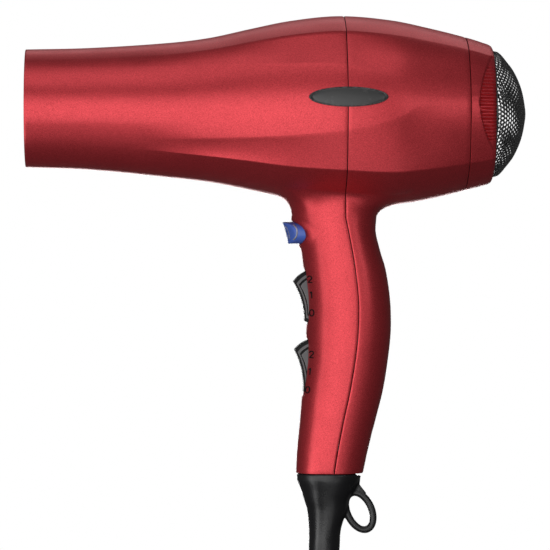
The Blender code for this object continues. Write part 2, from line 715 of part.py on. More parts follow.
def boot():
    rows = [
        (-50.0, -17.5, 1.5, 8.0), (-59.6, -17.5, 1.5, 8.0), (-59.7, -22.0, 5.7, 12.0), (-62.4, -21.9, 5.0, 11.8),
        (-66.7, -20.2, 2.8, 10.6), (-71.0, -18.9, 0.4, 9.4), (-75.3, -17.6, -0.4, 8.4), (-83.9, -16.8, -3.0, 7.2),
        (-92.5, -16.9, -3.6, 6.7), (-104.0, -16.6, -5.2, 5.6), (BOOT_END, -16.0, -6.8, 4.7),
    ]
    loops = [
        [(x, y, z) for x, y in oval((back - front) / 2, half, 2.3, 20, ((front + back) / 2, 0.0))]
        for z, front, back, half in rows
    ]
    body = loft("cord_boot", loops, RUBBER)
    lean = math.radians(25)
    loops = []
    for k in range(20):
        turn = 2 * math.pi * k / 20
        loop = []
        for grow, y in ((1.5, -2.0), (1.5, 2.0), (-1.5, 2.0), (-1.5, -2.0)):
            a = (5.2 + grow) * math.cos(turn)
            b = (8.5 + grow) * math.sin(turn)
            loop.append((5.0 + a * math.cos(lean) - b * math.sin(lean), y,
                         -75.9 + a * math.sin(lean) + b * math.cos(lean)))
        loops.append(loop)
    verts = [p for loop in loops for p in loop]
    faces = [
        (k * 4 + j, k * 4 + (j + 1) % 4, (k + 1) % 20 * 4 + (j + 1) % 4, (k + 1) % 20 * 4 + j)
        for k in range(20)
        for j in range(4)
    ]
    combine(body, piece("hang_loop", verts, faces, None, True, True), "UNION")
    tab = [(-3.0, -60.0), (5.5, -60.0), (5.0, -64.6), (7.6, -68.2), (4.2, -68.6), (0.6, -67.8), (-3.0, -70.0)]
    combine(body, slab_y("loop_tab", tab, -1.9, 1.9, None, True), "UNION")


def cord():
    tube("power_cord", [(-11.4, 0.0, BOOT_END - 0.3), (-11.4, 1.0, -132.0), (-11.4, 5.0, -149.0)],
         CORD_R, RUBBER, 10)
    wide, deep, tall = HANK_SIZE
    middle = HANK_TOP - tall / 2
    outline = oval(wide / 2, tall / 2, 4.0, 28, (HANK_X, middle))
    slab_y("cord_hank", outline, -deep / 2, deep / 2, RUBBER)
    inner = rectangle(HANK_X - wide / 2 - 0.3, HANK_X + wide / 2 + 0.3, -deep / 2 - 0.3, deep / 2 + 0.3)
    outer = rectangle(HANK_X - wide / 2 - 1.6, HANK_X + wide / 2 + 1.6, -deep / 2 - 1.6, deep / 2 + 1.6)
    band("cord_tie", [[(x, y, z) for x, y in shape] for shape, z in
                      ((inner, middle - 6), (outer, middle - 6), (outer, middle + 6), (inner, middle + 6))],
         RUBBER)
    path = [(-53.4, -13.0, -149.0)]
    for k in range(9):
        turn = math.pi * k / 8
        path.append((PLUG_X + 28.0 + 28.0 * math.cos(turn), PLUG_Y - 1.0, -146.0 + 28.0 * math.sin(turn)))
    path.append((PLUG_X, PLUG_Y, PLUG_TOP + 12.3))
    tube("cord_tail", path, CORD_R, RUBBER, 8)


def plug():
    wide, deep, tall = PLUG_SIZE
    low = PLUG_TOP - tall
    centre = (PLUG_X, PLUG_Y)
    face = PLUG_Y - deep / 2
    body = slab_z("plug_body", oval(wide / 2, deep / 2, 6.0, 28, centre), low, PLUG_TOP, BLACK)
    relief = [(PLUG_TOP + 0.3, 7.0), (PLUG_TOP + 6.0, 5.6), (PLUG_TOP + 12.0, 4.6)]
    loft("plug_relief", [[(x, y, z) for x, y in oval(r, r, 2.0, 16, centre)] for z, r in relief], RUBBER)
    for name, x in (("plug_blade_left", PLUG_X - 6.35), ("plug_blade_right", PLUG_X + 6.35)):
        blade = [(x - 0.75, PLUG_Y - 3.15), (x + 0.75, PLUG_Y - 3.15), (x + 0.75, PLUG_Y + 3.15),
                 (x - 0.75, PLUG_Y + 3.15)]
        slab_z(name, blade, low - 17.0, low - 0.3, BRASS)
    for name, z, look in (("plug_test_button", PLUG_TOP - 17.0, WHITE), ("plug_reset_button", PLUG_TOP - 28.0, BLUE)):
        pocket = slab_y(name + "_pocket", rectangle(PLUG_X - 4.4, PLUG_X + 4.4, z - 3.0, z + 3.0), face - 6.0,
                        face + 3.6, None, True)
        combine(body, pocket, "DIFFERENCE")
        slab_y(name, rectangle(PLUG_X - 4.0, PLUG_X + 4.0, z - 2.6, z + 2.6), face - 0.7, face + 2.2, look)


housings()
shell_screws()
badges()
intake_ring()
intake_grille()
lint_filter()
rocker_switches()
cool_shot()
outlet_grille()
heater()
motor()
impeller()
air_duct()
leads()
boot()
cord()
plug()
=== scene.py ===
import math
import bmesh
import bpy
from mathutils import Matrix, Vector


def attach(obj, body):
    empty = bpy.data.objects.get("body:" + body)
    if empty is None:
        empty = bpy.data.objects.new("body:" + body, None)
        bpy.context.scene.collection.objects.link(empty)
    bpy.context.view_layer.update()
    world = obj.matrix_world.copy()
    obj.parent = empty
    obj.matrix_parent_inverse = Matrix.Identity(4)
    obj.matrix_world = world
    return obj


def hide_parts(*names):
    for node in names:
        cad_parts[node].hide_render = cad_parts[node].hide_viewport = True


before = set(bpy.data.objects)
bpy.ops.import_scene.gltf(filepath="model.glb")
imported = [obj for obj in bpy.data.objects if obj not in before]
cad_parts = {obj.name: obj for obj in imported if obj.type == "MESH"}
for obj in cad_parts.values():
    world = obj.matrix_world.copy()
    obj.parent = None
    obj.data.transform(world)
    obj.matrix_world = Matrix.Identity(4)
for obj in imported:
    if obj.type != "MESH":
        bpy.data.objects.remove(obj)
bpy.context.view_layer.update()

MM = 0.001
VIEW_CENTRE = Vector((-31.4, 0.0, 25.8)) * MM
VIEW_DISTANCE = 1.46
VIEW_TURN = math.radians(-2.0)
VIEW_WIDTH = 0.2368

camera_data = bpy.data.cameras.new("camera")
camera_data.sensor_width = 36.0
camera_data.lens = 36.0 * VIEW_DISTANCE / VIEW_WIDTH
camera_data.clip_end = 20.0
camera = bpy.data.objects.new("camera", camera_data)
camera.location = VIEW_CENTRE + VIEW_DISTANCE * Vector((math.sin(VIEW_TURN), -math.cos(VIEW_TURN), 0.0))
camera.rotation_euler = (VIEW_CENTRE - camera.location).to_track_quat("-Z", "Y").to_euler()
bpy.context.scene.collection.objects.link(camera)
bpy.context.scene.camera = camera
bpy.context.scene.view_settings.view_transform = "Standard"


# ---- The mains cord: 1.83 m of 7 mm round two-core lead in black vinyl, moulded into the boot.
# It drops from the boot, folds five times into a hank, and its end arches over to the plug.
CORD_RADIUS = 3.5
CORD_EXIT = (-11.4, 0.0, -116.0)
RUN_X = (-11.4, -53.4)
RUN_TOP = -169.5
RUN_BOTTOM = -276.5
LAYERS = (14.6, 7.3, 0.0, -7.3, -14.6)
PLUG_AT = (-109.4, -10.0, -178.0)


def smooth_step(t):
    t = min(max(t, 0.0), 1.0)
    return t * t * (3 - 2 * t)


def linked(name, data):
    made = bpy.data.objects.new(name, data)
    bpy.context.scene.collection.objects.link(made)
    return made


def cord_route():
    right, left = RUN_X
    middle, reach = (right + left) / 2, (right - left) / 2
    route = [Vector(CORD_EXIT)]
    for step in range(1, 9):
        share = step / 8
        z = CORD_EXIT[2] + (RUN_TOP - CORD_EXIT[2]) * share
        route.append(Vector((right, LAYERS[0] * smooth_step(share * 1.06 - 0.06), z)))
    for layer, y in enumerate(LAYERS):
        lean = (-2.0, 1.0, -1.0, 1.5, -0.5)[layer]
        for step in range(1, 9):
            share = step / 8
            sway = math.sin(math.pi * share) * lean * 0.4
            route.append(Vector((right + sway, y, RUN_TOP + (RUN_BOTTOM - RUN_TOP) * share)))
        for step in range(1, 12):
            turn = math.pi * step / 12
            route.append(Vector((middle + reach * math.cos(turn), y, RUN_BOTTOM - reach * math.sin(turn))))
        for step in range(9):
            share = step / 8
            sway = math.sin(math.pi * share) * lean * 0.4
            route.append(Vector((left + sway, y, RUN_BOTTOM + (RUN_TOP - RUN_BOTTOM) * share)))
        if layer == len(LAYERS) - 1:
            break
        below = LAYERS[layer + 1]
        for step in range(1, 12):
            share = step / 12
            turn = math.pi * share
            route.append(Vector((middle - reach * math.cos(turn), y + (below - y) * smooth_step(share),
                                 RUN_TOP + reach * math.sin(turn))))
        route.append(Vector((right, below, RUN_TOP)))
    arch = (PLUG_AT[0] + left) / 2
    width = (left - PLUG_AT[0]) / 2
    for step in range(1, 4):
        share = step / 4
        route.append(Vector((left, LAYERS[-1] + 2.6 * share, RUN_TOP + (-146.0 - RUN_TOP) * share)))
    for step in range(13):
        turn = math.pi * step / 12
        y = -12.0 + (PLUG_AT[1] + 12.0) * smooth_step(step / 12)
        route.append(Vector((arch + width * math.cos(turn), y, -146.0 + width * math.sin(turn))))
    for z in (-152.0, -159.0, PLUG_AT[2] + 11.0):
        route.append(Vector((PLUG_AT[0], PLUG_AT[1], z)))
    return route


route = cord_route()
cord_data = bpy.data.curves.new("power_cord_visual", "CURVE")
cord_data.dimensions = "3D"
cord_data.bevel_depth = 1.0  # times each knot's radius, so that the curve's own bounds stay close to it
cord_data.bevel_resolution = 5
cord_data.resolution_u = 4
spline = cord_data.splines.new("BEZIER")
spline.bezier_points.add(len(route) - 1)
for k, point in enumerate(route):
    knot = spline.bezier_points[k]
    before = route[max(k - 1, 0)]
    after = route[min(k + 1, len(route) - 1)]
    along = (after - before).normalized()
    knot.co = point * MM
    knot.radius = CORD_RADIUS * MM
    knot.handle_left = (point - along * (point - before).length / 3) * MM
    knot.handle_right = (point + along * (after - point).length / 3) * MM
power_cord = linked("power_cord_visual", cord_data)
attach(power_cord, "shell")
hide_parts("power_cord", "cord_hank", "cord_tail")


# ---- Finishes that more than one piece shares, each a node group placed in a material with its own values.
# Mould grain is the fine spark-eroded texture of a plastic part, and wear is the polish of handling.
def group_with(name, inputs, outputs):
    group = bpy.data.node_groups.new(name, "ShaderNodeTree")
    for label, value in inputs:
        made = group.interface.new_socket(name=label, in_out="INPUT", socket_type="NodeSocketFloat")
        made.default_value = value
    for label, kind in outputs:
        group.interface.new_socket(name=label, in_out="OUTPUT", socket_type=kind)
    return group, group.nodes.new("NodeGroupInput"), group.nodes.new("NodeGroupOutput")


def ramp(tree, source, low, high, low_value=0.0, high_value=1.0):
    node = tree.nodes.new("ShaderNodeMapRange")
    node.inputs["From Min"].default_value = low
    node.inputs["From Max"].default_value = high
    node.inputs["To Min"].default_value = low_value
    node.inputs["To Max"].default_value = high_value
    tree.links.new(source, node.inputs["Value"])
    return node.outputs["Result"]


def noise(tree, scale, detail=3.0, roughness=0.55, stretch=None):
    place = tree.nodes.new("ShaderNodeTexCoord").outputs["Object"]
    if stretch:
        mapping = tree.nodes.new("ShaderNodeMapping")
        mapping.inputs["Scale"].default_value = stretch
        tree.links.new(place, mapping.inputs["Vector"])
        place = mapping.outputs["Vector"]
    node = tree.nodes.new("ShaderNodeTexNoise")
    node.inputs["Detail"].default_value = detail
    node.inputs["Roughness"].default_value = roughness
    tree.links.new(place, node.inputs["Vector"])
    if isinstance(scale, (int, float)):
        node.inputs["Scale"].default_value = scale
    else:
        tree.links.new(scale, node.inputs["Scale"])
    return node.outputs["Fac"]


def blend_values(tree, operation, a, b):
    node = tree.nodes.new("ShaderNodeMath")
    node.operation = operation
    for socket, value in zip(node.inputs, (a, b)):
        if isinstance(value, (int, float)):
            socket.default_value = value
        else:
            tree.links.new(value, socket)
    return node.outputs["Value"]


def mould_grain_group():
    group, given, result = group_with(
        "mould_grain",
        [("Grain Scale", 2600.0), ("Roughness", 0.45), ("Roughness Spread", 0.08)],
        [("Height", "NodeSocketFloat"), ("Roughness", "NodeSocketFloat")],
    )
    grain = noise(group, given.outputs["Grain Scale"], 2.0)
    group.links.new(grain, result.inputs["Height"])
    smudge = noise(group, 55.0, 4.0)
    spread = blend_values(group, "MULTIPLY", ramp(group, smudge, 0.3, 0.7, -1.0, 1.0),
                          given.outputs["Roughness Spread"])
    group.links.new(blend_values(group, "ADD", spread, given.outputs["Roughness"]),
                    result.inputs["Roughness"])
    return group


def handling_group():
    group, given, result = group_with(
        "handling_wear",
        [("Edge Width", 0.0006), ("Dust", 0.25)],
        [("Edge", "NodeSocketFloat"), ("Dust", "NodeSocketFloat")],
    )
    bevel = group.nodes.new("ShaderNodeBevel")
    bevel.samples = 4
    group.links.new(given.outputs["Edge Width"], bevel.inputs["Radius"])
    flat = group.nodes.new("ShaderNodeNewGeometry")
    agree = group.nodes.new("ShaderNodeVectorMath")
    agree.operation = "DOT_PRODUCT"
    group.links.new(bevel.outputs["Normal"], agree.inputs[0])
    group.links.new(flat.outputs["Normal"], agree.inputs[1])
    edge = ramp(group, agree.outputs["Value"], 0.995, 0.9)
    broken = ramp(group, noise(group, 900.0, 3.0), 0.35, 0.65)
    group.links.new(blend_values(group, "MULTIPLY", edge, broken), result.inputs["Edge"])
    specks = ramp(group, noise(group, 240.0, 5.0, 0.7), 0.58, 0.8)
    group.links.new(blend_values(group, "MULTIPLY", specks, given.outputs["Dust"]), result.inputs["Dust"])
    return group


mould_grain = mould_grain_group()
handling_wear = handling_group()


def new_finish(name, metallic=0.0, coat=0.0, coat_roughness=0.1, specular=0.5):
    made = bpy.data.materials.new(name)
    made.use_nodes = True
    shader = made.node_tree.nodes["Principled BSDF"]
    shader.inputs["Metallic"].default_value = metallic
    shader.inputs["Coat Weight"].default_value = coat
    shader.inputs["Coat Roughness"].default_value = coat_roughness
    shader.inputs["Specular IOR Level"].default_value = specular
    return made, made.node_tree, shader


def mixed_colour(tree, mask, first, second):
    node = tree.nodes.new("ShaderNodeMix")
    node.data_type = "RGBA"
    for socket, colour in ((node.inputs["A"], first), (node.inputs["B"], second)):
        if isinstance(colour, tuple):
            socket.default_value = (*colour, 1.0)
        else:
            tree.links.new(colour, socket)
    tree.links.new(mask, node.inputs["Factor"])
    return node.outputs["Result"]


def bumped(tree, shader, height, distance, strength=1.0):
    node = tree.nodes.new("ShaderNodeBump")
    node.inputs["Distance"].default_value = distance
    node.inputs["Strength"].default_value = strength
    tree.links.new(height, node.inputs["Height"])
    tree.links.new(node.outputs["Normal"], shader.inputs["Normal"])


def moulded(name, colour, roughness=0.45, grain=2600.0, depth=0.00003, worn=(0.16, 0.16, 0.16), metallic=0.0,
            dust=0.2, specular=0.5):
    """Grained plastic, rubber or plated metal: its colour, a worn tone on its edges, and dust in specks."""
    made, tree, shader = new_finish(name, metallic=metallic, specular=specular)
    skin = tree.nodes.new("ShaderNodeGroup")
    skin.node_tree = mould_grain
    skin.inputs["Grain Scale"].default_value = grain
    skin.inputs["Roughness"].default_value = roughness
    wear = tree.nodes.new("ShaderNodeGroup")
    wear.node_tree = handling_wear
    wear.inputs["Dust"].default_value = dust
    rubbed = mixed_colour(tree, wear.outputs["Edge"], colour, worn)
    dusty = mixed_colour(tree, wear.outputs["Dust"], rubbed, (0.30, 0.29, 0.28))
    tree.links.new(dusty, shader.inputs["Base Color"])
    tree.links.new(skin.outputs["Roughness"], shader.inputs["Roughness"])
    bumped(tree, shader, skin.outputs["Height"], depth)
    return made


def finish_node(node, material):
    """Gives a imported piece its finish."""
    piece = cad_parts[node]
    for place in piece.material_slots:
        place.material = material
    return piece


cord_vinyl = moulded("cord_vinyl", (0.014, 0.014, 0.015), 0.42, 1500.0, 0.00004, dust=0.12)
cord_data.materials.append(cord_vinyl)
finish_node("cord_tie", moulded("tie_rubber", (0.02, 0.02, 0.021), 0.6, 1800.0, 0.00005))


# ---- The two lacquered shells: ABS in a satin metallic red, parted round the barrel and down the handle.
# Each is a 2.2 mm wall. A crease runs along the top and the bottom of the barrel, and each side carries
# a long leaf-shaped face between two more. The rear shell is screwed to the front one from behind the handle.
SHELL_WALL = 2.2
HANDLE_CURVE = 2.2
SEAM_X = -2.0
SEAM_GAP = 0.34
NOZZLE_X = -138.5
REAR_X = 50.2
HOLE_X = (-32.0, 28.0)
BARREL = (
    (-138.5, 122.6, 72.0), (-111.0, 123.3, 71.0), (-76.5, 125.6, 67.7), (-59.3, 127.8, 65.7),
    (-42.1, 131.6, 62.4), (-24.9, 135.1, 58.9), (-4.0, 137.2, 56.7), (18.1, 135.5, 55.9),
    (35.3, 132.0, 58.6), (52.5, 127.7, 62.8), (60.0, 125.3, 64.8), (64.0, 124.2, 66.2),
)
HANDLE = (
    (50.0, -24.1, 12.2, 16.8, -1.8), (44.3, -22.2, 12.0, 16.6, -0.6), (36.6, -20.2, 13.8, 16.4, 0.9),
    (28.0, -19.1, 16.3, 16.3, 2.3), (15.0, -17.8, 18.2, 16.2, 3.7), (2.2, -18.0, 18.5, 16.0, 3.6),
    (-10.0, -18.0, 17.3, 15.6, 2.4), (-23.7, -19.6, 15.1, 14.8, 0.2), (-36.0, -20.6, 12.0, 14.0, -2.4),
    (-49.5, -21.9, 8.6, 13.0, -5.0), (-59.3, -22.4, 6.5, 12.2, -6.5),
)
LEAF_LOW = ((-86.0, 83.3), (-60.0, 83.3), (-33.0, 83.9), (-10.5, 85.5), (4.0, 87.7), (15.0, 90.2),
            (22.4, 93.2), (27.0, 96.6), (50.0, 96.8), (64.0, 96.8))
LEAF_HIGH = ((-86.0, 114.6), (-33.0, 114.7), (-10.5, 114.9), (-2.0, 113.8), (10.0, 111.2), (18.6, 107.9),
             (23.8, 103.4), (27.0, 99.0), (50.0, 98.8), (64.0, 98.8))
BAND_STEPS = (0.0, 0.06, 0.12, 0.18, 0.24, 0.30, 0.36, 0.42, 0.48, 0.54, 0.6, 0.7, 0.8, 0.88, 0.94, 0.98)
HOLE_STEPS = 10
BUTTON_Z = 43.9
PAD_HALF = (12.6, 6.4)


def along_table(table, x, column=1):
    """Smooth value of one column of a table that is ordered by its first column."""
    rows = sorted(table)
    x = min(max(x, rows[0][0]), rows[-1][0])
    i = 0
    while i < len(rows) - 2 and x > rows[i + 1][0]:
        i += 1
    near = [rows[max(0, i - 1)], rows[i], rows[i + 1], rows[min(len(rows) - 1, i + 2)]]
    x0, x1, x2, x3 = (row[0] for row in near)
    y0, y1, y2, y3 = (row[column] for row in near)
    span = x2 - x1
    m1 = (y2 - y0) / (x2 - x0) * span
    m2 = (y3 - y1) / (x3 - x1) * span
    t = (x - x1) / span
    return ((2 * t**3 - 3 * t**2 + 1) * y1 + (t**3 - 2 * t**2 + t) * m1
            + (3 * t**2 - 2 * t**3) * y2 + (t**3 - t**2) * m2)


def barrel_size(x):
    top = along_table(BARREL, x, 1)
    bottom = along_table(BARREL, x, 2)
    return (top + bottom) / 2, (top - bottom) / 2


def barrel_y(x, z):
    centre, radius = barrel_size(x)
    rise = (z - centre) / radius
    tall = 1.223 if rise < 0 else 1.05
    return 0.98 * radius * math.sqrt(max(0.0, 1 - (rise / tall) ** 2))


def under_barrel(x, y):
    centre, radius = barrel_size(x)
    return centre - radius + 0.33 * radius * (y / (0.82 * radius)) ** 2


def ellipse_angle(rise):
    return math.asin(rise / (1.223 if rise < 0 else 1.05))


def barrel_section(x):
    """Half the section at x from bottom centre to top centre: (y, z, depth of the hollow faces there)."""
    centre, radius = barrel_size(x)
    formed = smooth_step((x + 92.0) / 36.0)
    low_turn = math.atan2(0.82, 0.67)
    high_turn = math.pi - math.atan2(0.64, 0.795)
    cuts = [-0.67, (along_table(LEAF_LOW, x) - centre) / radius,
            (along_table(LEAF_HIGH, x) - centre) / radius, 0.795]
    fade = smooth_step((48.0 - x) / 26.0)
    low_depth = 0.62 * smooth_step((x + 90.0) / 40.0) * fade
    high_depth = 0.8 * smooth_step((x + 52.0) / 34.0) * smooth_step((24.0 - x) / 22.0)
    shape = [(0.82 * s, -1.0 + 0.33 * s * s, low_turn * s, 0.0) for s in BAND_STEPS]
    zones = ((0, 11, low_depth), (1, 16, 0.0), (2, 10, high_depth))
    first, last = ellipse_angle(cuts[0]), ellipse_angle(cuts[3])
    for zone, steps, depth in zones:
        start, end = ellipse_angle(cuts[zone]), ellipse_angle(cuts[zone + 1])
        for k in range(steps):
            share = k / steps
            if k == 1:
                share = 0.25 / steps
            if k == 2:
                share = 1.0 / steps
            angle = start + (end - start) * share
            tall = 1.223 if angle < 0 else 1.05
            hollow = depth * 4 * share * (1 - share)
            turn = low_turn + (high_turn - low_turn) * (angle - first) / (last - first)
            shape.append((0.98 * math.cos(angle), tall * math.sin(angle), turn, hollow))
    for k in range(9):
        share = 1 - k / 8
        if k == 1:
            share = 0.975
        shape.append((0.64 * share, 1.0 - 0.205 * share**2, math.pi - (math.pi - high_turn) * share, 0.0))
    points = []
    for y, z, turn, hollow in shape:
        points.append((
            radius * (formed * y + (1 - formed) * math.sin(turn)),
            centre + radius * (formed * z - (1 - formed) * math.cos(turn)),
            hollow,
        ))
    return points


def barrel_ring(x):
    half = barrel_section(x)
    whole = half + [(-y, z, d) for y, z, d in half[-2:0:-1]]
    return [(Vector((x, y, z)), d) for y, z, d in whole]


def handle_point(z, u, v):
    front, back, half, seam = (along_table(HANDLE, z, k) for k in (1, 2, 3, 4))
    along = u * math.sqrt(1 - v * v / 2)
    across = v * math.sqrt(1 - u * u / 2)
    reach = seam - front if along < 0 else back - seam
    return Vector((
        seam + reach * math.copysign(abs(along) ** (2 / HANDLE_CURVE), along),
        half * math.copysign(abs(across) ** (2 / HANDLE_CURVE), across),
        z,
    ))


def spaced(start, end, step):
    count = max(1, round(abs(end - start) / step))
    return [start + (end - start) * k / count for k in range(count + 1)]


def shell_skin():
    """Outer skin of both shells: points, hollow depths, faces as (front?, corners), points on each edge."""
    stations = [NOZZLE_X, -138.2, -137.4] + spaced(-136.0, -34.0, 3.4) + spaced(-32.0, -20.0, 1.0)
    stations += spaced(-18.6, -6.0, 1.6)
    stations += [-4.0, -2.7, SEAM_X, -1.3, 0.0] + spaced(2.0, 28.0, 1.8) + spaced(30.0, 46.0, 2.6)
    stations += [48.0, 49.4, REAR_X]
    rings = [barrel_ring(x) for x in stations]
    count = len(rings[0])
    verts = [p for ring in rings for p, _ in ring]
    depths = [d for ring in rings for _, d in ring]
    seam = stations.index(SEAM_X)
    first, last = stations.index(HOLE_X[0]), stations.index(HOLE_X[1])
    faces = []
    for i in range(len(stations) - 1):
        for j in range(count):
            if first <= i < last and (j < HOLE_STEPS or j >= count - HOLE_STEPS):
                continue
            nxt = (j + 1) % count
            faces.append((i < seam, (i * count + j, i * count + nxt, (i + 1) * count + nxt,
                                     (i + 1) * count + j)))
    rim = [(i, HOLE_STEPS) for i in range(first, last)]
    rim += [(last, j) for j in range(HOLE_STEPS, -HOLE_STEPS, -1)]
    rim += [(i, -HOLE_STEPS) for i in range(last, first, -1)]
    rim += [(first, j) for j in range(-HOLE_STEPS, HOLE_STEPS)]
    square = []
    for i, j in rim:
        reach = SEAM_X - HOLE_X[0] if i < seam else HOLE_X[1] - SEAM_X
        square.append(((stations[i] - SEAM_X) / reach, BAND_STEPS[abs(j)] / BAND_STEPS[HOLE_STEPS]
                       * (1 if j > 0 else -1)))
    level = [i * count + j % count for i, j in rim]
    ends = {"nozzle": set(range(count)),
            "rear": set(range((len(stations) - 1) * count, len(stations) * count)),
            "seam": set(range(seam * count, (seam + 1) * count))}
    neck = [handle_point(50.0, u, v) for u, v in square]
    rows = []
    for step in range(1, 9):
        t = step / 9
        rows.append([])
        for k, end in enumerate(neck):
            bend = Vector((end.x, end.y, under_barrel(end.x, end.y)))
            rows[-1].append(verts[level[k]] * (1 - t) ** 2 + bend * 2 * t * (1 - t) + end * t * t)
    heights = spaced(50.0, 36.0, 0.6) + spaced(34.4, -57.0, 2.0) + [-58.6, -59.3]
    rows += [[handle_point(z, u, v) for u, v in square] for z in heights]
    for row in rows:
        base = len(verts)
        verts.extend(row)
        depths.extend(0.0 for _ in row)
        fresh = list(range(base, base + len(row)))
        for k in range(len(row)):
            nxt = (k + 1) % len(row)
            faces.append((square[k][0] + square[nxt][0] < 0, (level[k], level[nxt], fresh[nxt], fresh[k])))
            if rim[k][0] == seam:
                ends["seam"].add(fresh[k])
        level = fresh
    ends["foot"] = set(level)
    return verts, depths, faces, ends


def outward_normals(verts, faces):
    work = bmesh.new()
    made = [work.verts.new(v) for v in verts]
    for _, corners in faces:
        work.faces.new([made[k] for k in corners])
    bmesh.ops.recalc_face_normals(work, faces=work.faces)
    work.normal_update()
    normals = [v.normal.copy() for v in made]
    work.free()
    return normals if normals[0].z < 0 else [-n for n in normals]


def pad_lift(point):
    """Height of the raised oval pad round the button, on the front of the handle."""
    if point.x > -6.0:
        return 0.0
    away = math.hypot(point.y / PAD_HALF[0], (point.z - BUTTON_Z) / PAD_HALF[1])
    return 0.45 * smooth_step((1.10 - away) / 0.2)


def mesh_piece(name, verts, faces, materials, angle=35.0):
    data = bpy.data.meshes.new(name)
    data.from_pydata([Vector(v) * MM for v in verts], [], faces)
    work = bmesh.new()
    work.from_mesh(data)
    bmesh.ops.recalc_face_normals(work, faces=work.faces)
    work.to_mesh(data)
    work.free()
    data.shade_smooth()
    if angle:
        data.set_sharp_from_angle(angle=math.radians(angle))
    for material in materials:
        data.materials.append(material)
    return linked(name, data)


skin_points, skin_depths, skin_faces, skin_ends = shell_skin()
skin_normals = outward_normals(skin_points, skin_faces)


def half_shell(name, want_front, materials):
    shift = Vector((-SEAM_GAP / 2 if want_front else SEAM_GAP / 2, 0, 0))
    edge_set = skin_ends["seam"] | skin_ends["nozzle"] | skin_ends["rear"] | skin_ends["foot"]
    outer, inner = [], []
    for k, point in enumerate(skin_points):
        into = skin_normals[k].copy()
        if k in skin_ends["seam"] or k in skin_ends["nozzle"] or k in skin_ends["rear"]:
            into.x = 0.0
        if k in skin_ends["foot"]:
            into.z = 0.0
        into.normalize()
        moved = point + shift if k in skin_ends["seam"] else point
        rounding = 0.14 if k in edge_set else 0.0
        outer.append(moved + into * (pad_lift(point) - skin_depths[k] - rounding))
        inner.append(moved - into * SHELL_WALL)
    mine = [corners for is_front, corners in skin_faces if is_front == want_front]
    used = sorted({k for corners in mine for k in corners})
    place = {k: n for n, k in enumerate(used)}
    size = len(used)
    faces, edges = [], {}
    for corners in mine:
        local = [place[k] for k in corners]
        faces.append(tuple(local))
        faces.append(tuple(size + k for k in reversed(local)))
        for a, b in zip(local, local[1:] + local[:1]):
            key = (min(a, b), max(a, b))
            edges[key] = edges.get(key, 0) + 1
    raw = len(faces)
    faces += [(a, b, size + b, size + a) for (a, b), times in edges.items() if times == 1]
    made = mesh_piece(name, [outer[k] for k in used] + [inner[k] for k in used], faces, materials, 50.0)
    for number, face in enumerate(made.data.polygons):
        # Inner faces and edge walls take the near-black raw ABS, which also paints shade into the seam gap.
        face.material_index = 1 if number >= raw or number % 2 else 0
    return made


def walls(rings, count, closed=False):
    """Faces between rings of this many points each, and from the last ring to the first if closed."""
    bands = [(i * count, (i + 1) % rings * count) for i in range(rings if closed else rings - 1)]
    return [(a + j, a + (j + 1) % count, b + (j + 1) % count, b + j) for a, b in bands for j in range(count)]


def solid_through(name, loops, looks, angle):
    """A solid skinned through the loops, with a flat face at each end."""
    count, rings = len(loops[0]), len(loops)
    ends = [tuple(range(count)), tuple(range((rings - 1) * count, rings * count))]
    return mesh_piece(name, [p for loop in loops for p in loop], walls(rings, count) + ends, looks, angle)


def cutter(name, loops):
    return solid_through(name, loops, [], None)


def round_loop(x, radius, z, count):
    turns = [2 * math.pi * k / count for k in range(count)]
    return [Vector((x, radius * math.cos(turn), z + radius * math.sin(turn))) for turn in turns]


def oval(a, b, power=2.0, count=48, centre=(0.0, 0.0)):
    points = []
    for k in range(count):
        c, s = math.cos(2 * math.pi * k / count), math.sin(2 * math.pi * k / count)
        points.append((centre[0] + a * math.copysign(abs(c) ** (2 / power), c),
                       centre[1] + b * math.copysign(abs(s) ** (2 / power), s)))
    return points


def settle(piece):
    """Turns a piece's modifiers into its own mesh."""
    bpy.context.view_layer.update()
    graph = bpy.context.evaluated_depsgraph_get()
    final = bpy.data.meshes.new_from_object(piece.evaluated_get(graph), depsgraph=graph)
    piece.modifiers.clear()
    old = piece.data
    piece.data = final
    bpy.data.meshes.remove(old)


def thicken(piece, thickness, offset=0.0):
    sheet = piece.modifiers.new("thickness", "SOLIDIFY")
    sheet.thickness = thickness * MM
    sheet.offset = offset
    settle(piece)


def carve(piece, tools, operation="DIFFERENCE"):
    for tool in tools:
        step = piece.modifiers.new(tool.name, "BOOLEAN")
        step.operation = operation
        step.solver = "EXACT"
        step.object = tool
    settle(piece)
    for tool in tools:
        bpy.data.objects.remove(tool)


def red_lacquer():
    """Metallic red: fine flake under a satin clear coat, clouded a little, with faint handling marks."""
    made, tree, shader = new_finish("red_metallic_lacquer", metallic=0.72, coat=0.12, coat_roughness=0.25)
    flake_noise = noise(tree, 3700.0, 2.0)
    flake = ramp(tree, flake_noise, 0.34, 0.66)
    colour = mixed_colour(tree, flake, (0.50, 0.030, 0.040), (0.83, 0.078, 0.094))
    cloud = ramp(tree, noise(tree, 30.0, 3.0), 0.35, 0.65, 0.0, 0.10)
    tree.links.new(mixed_colour(tree, cloud, colour, (0.50, 0.03, 0.04)), shader.inputs["Base Color"])
    marks = ramp(tree, noise(tree, 90.0, 5.0, 0.65), 0.3, 0.75, 0.35, 0.43)
    tree.links.new(marks, shader.inputs["Roughness"])
    bumped(tree, shader, flake_noise, 0.00002, 0.5)
    return made


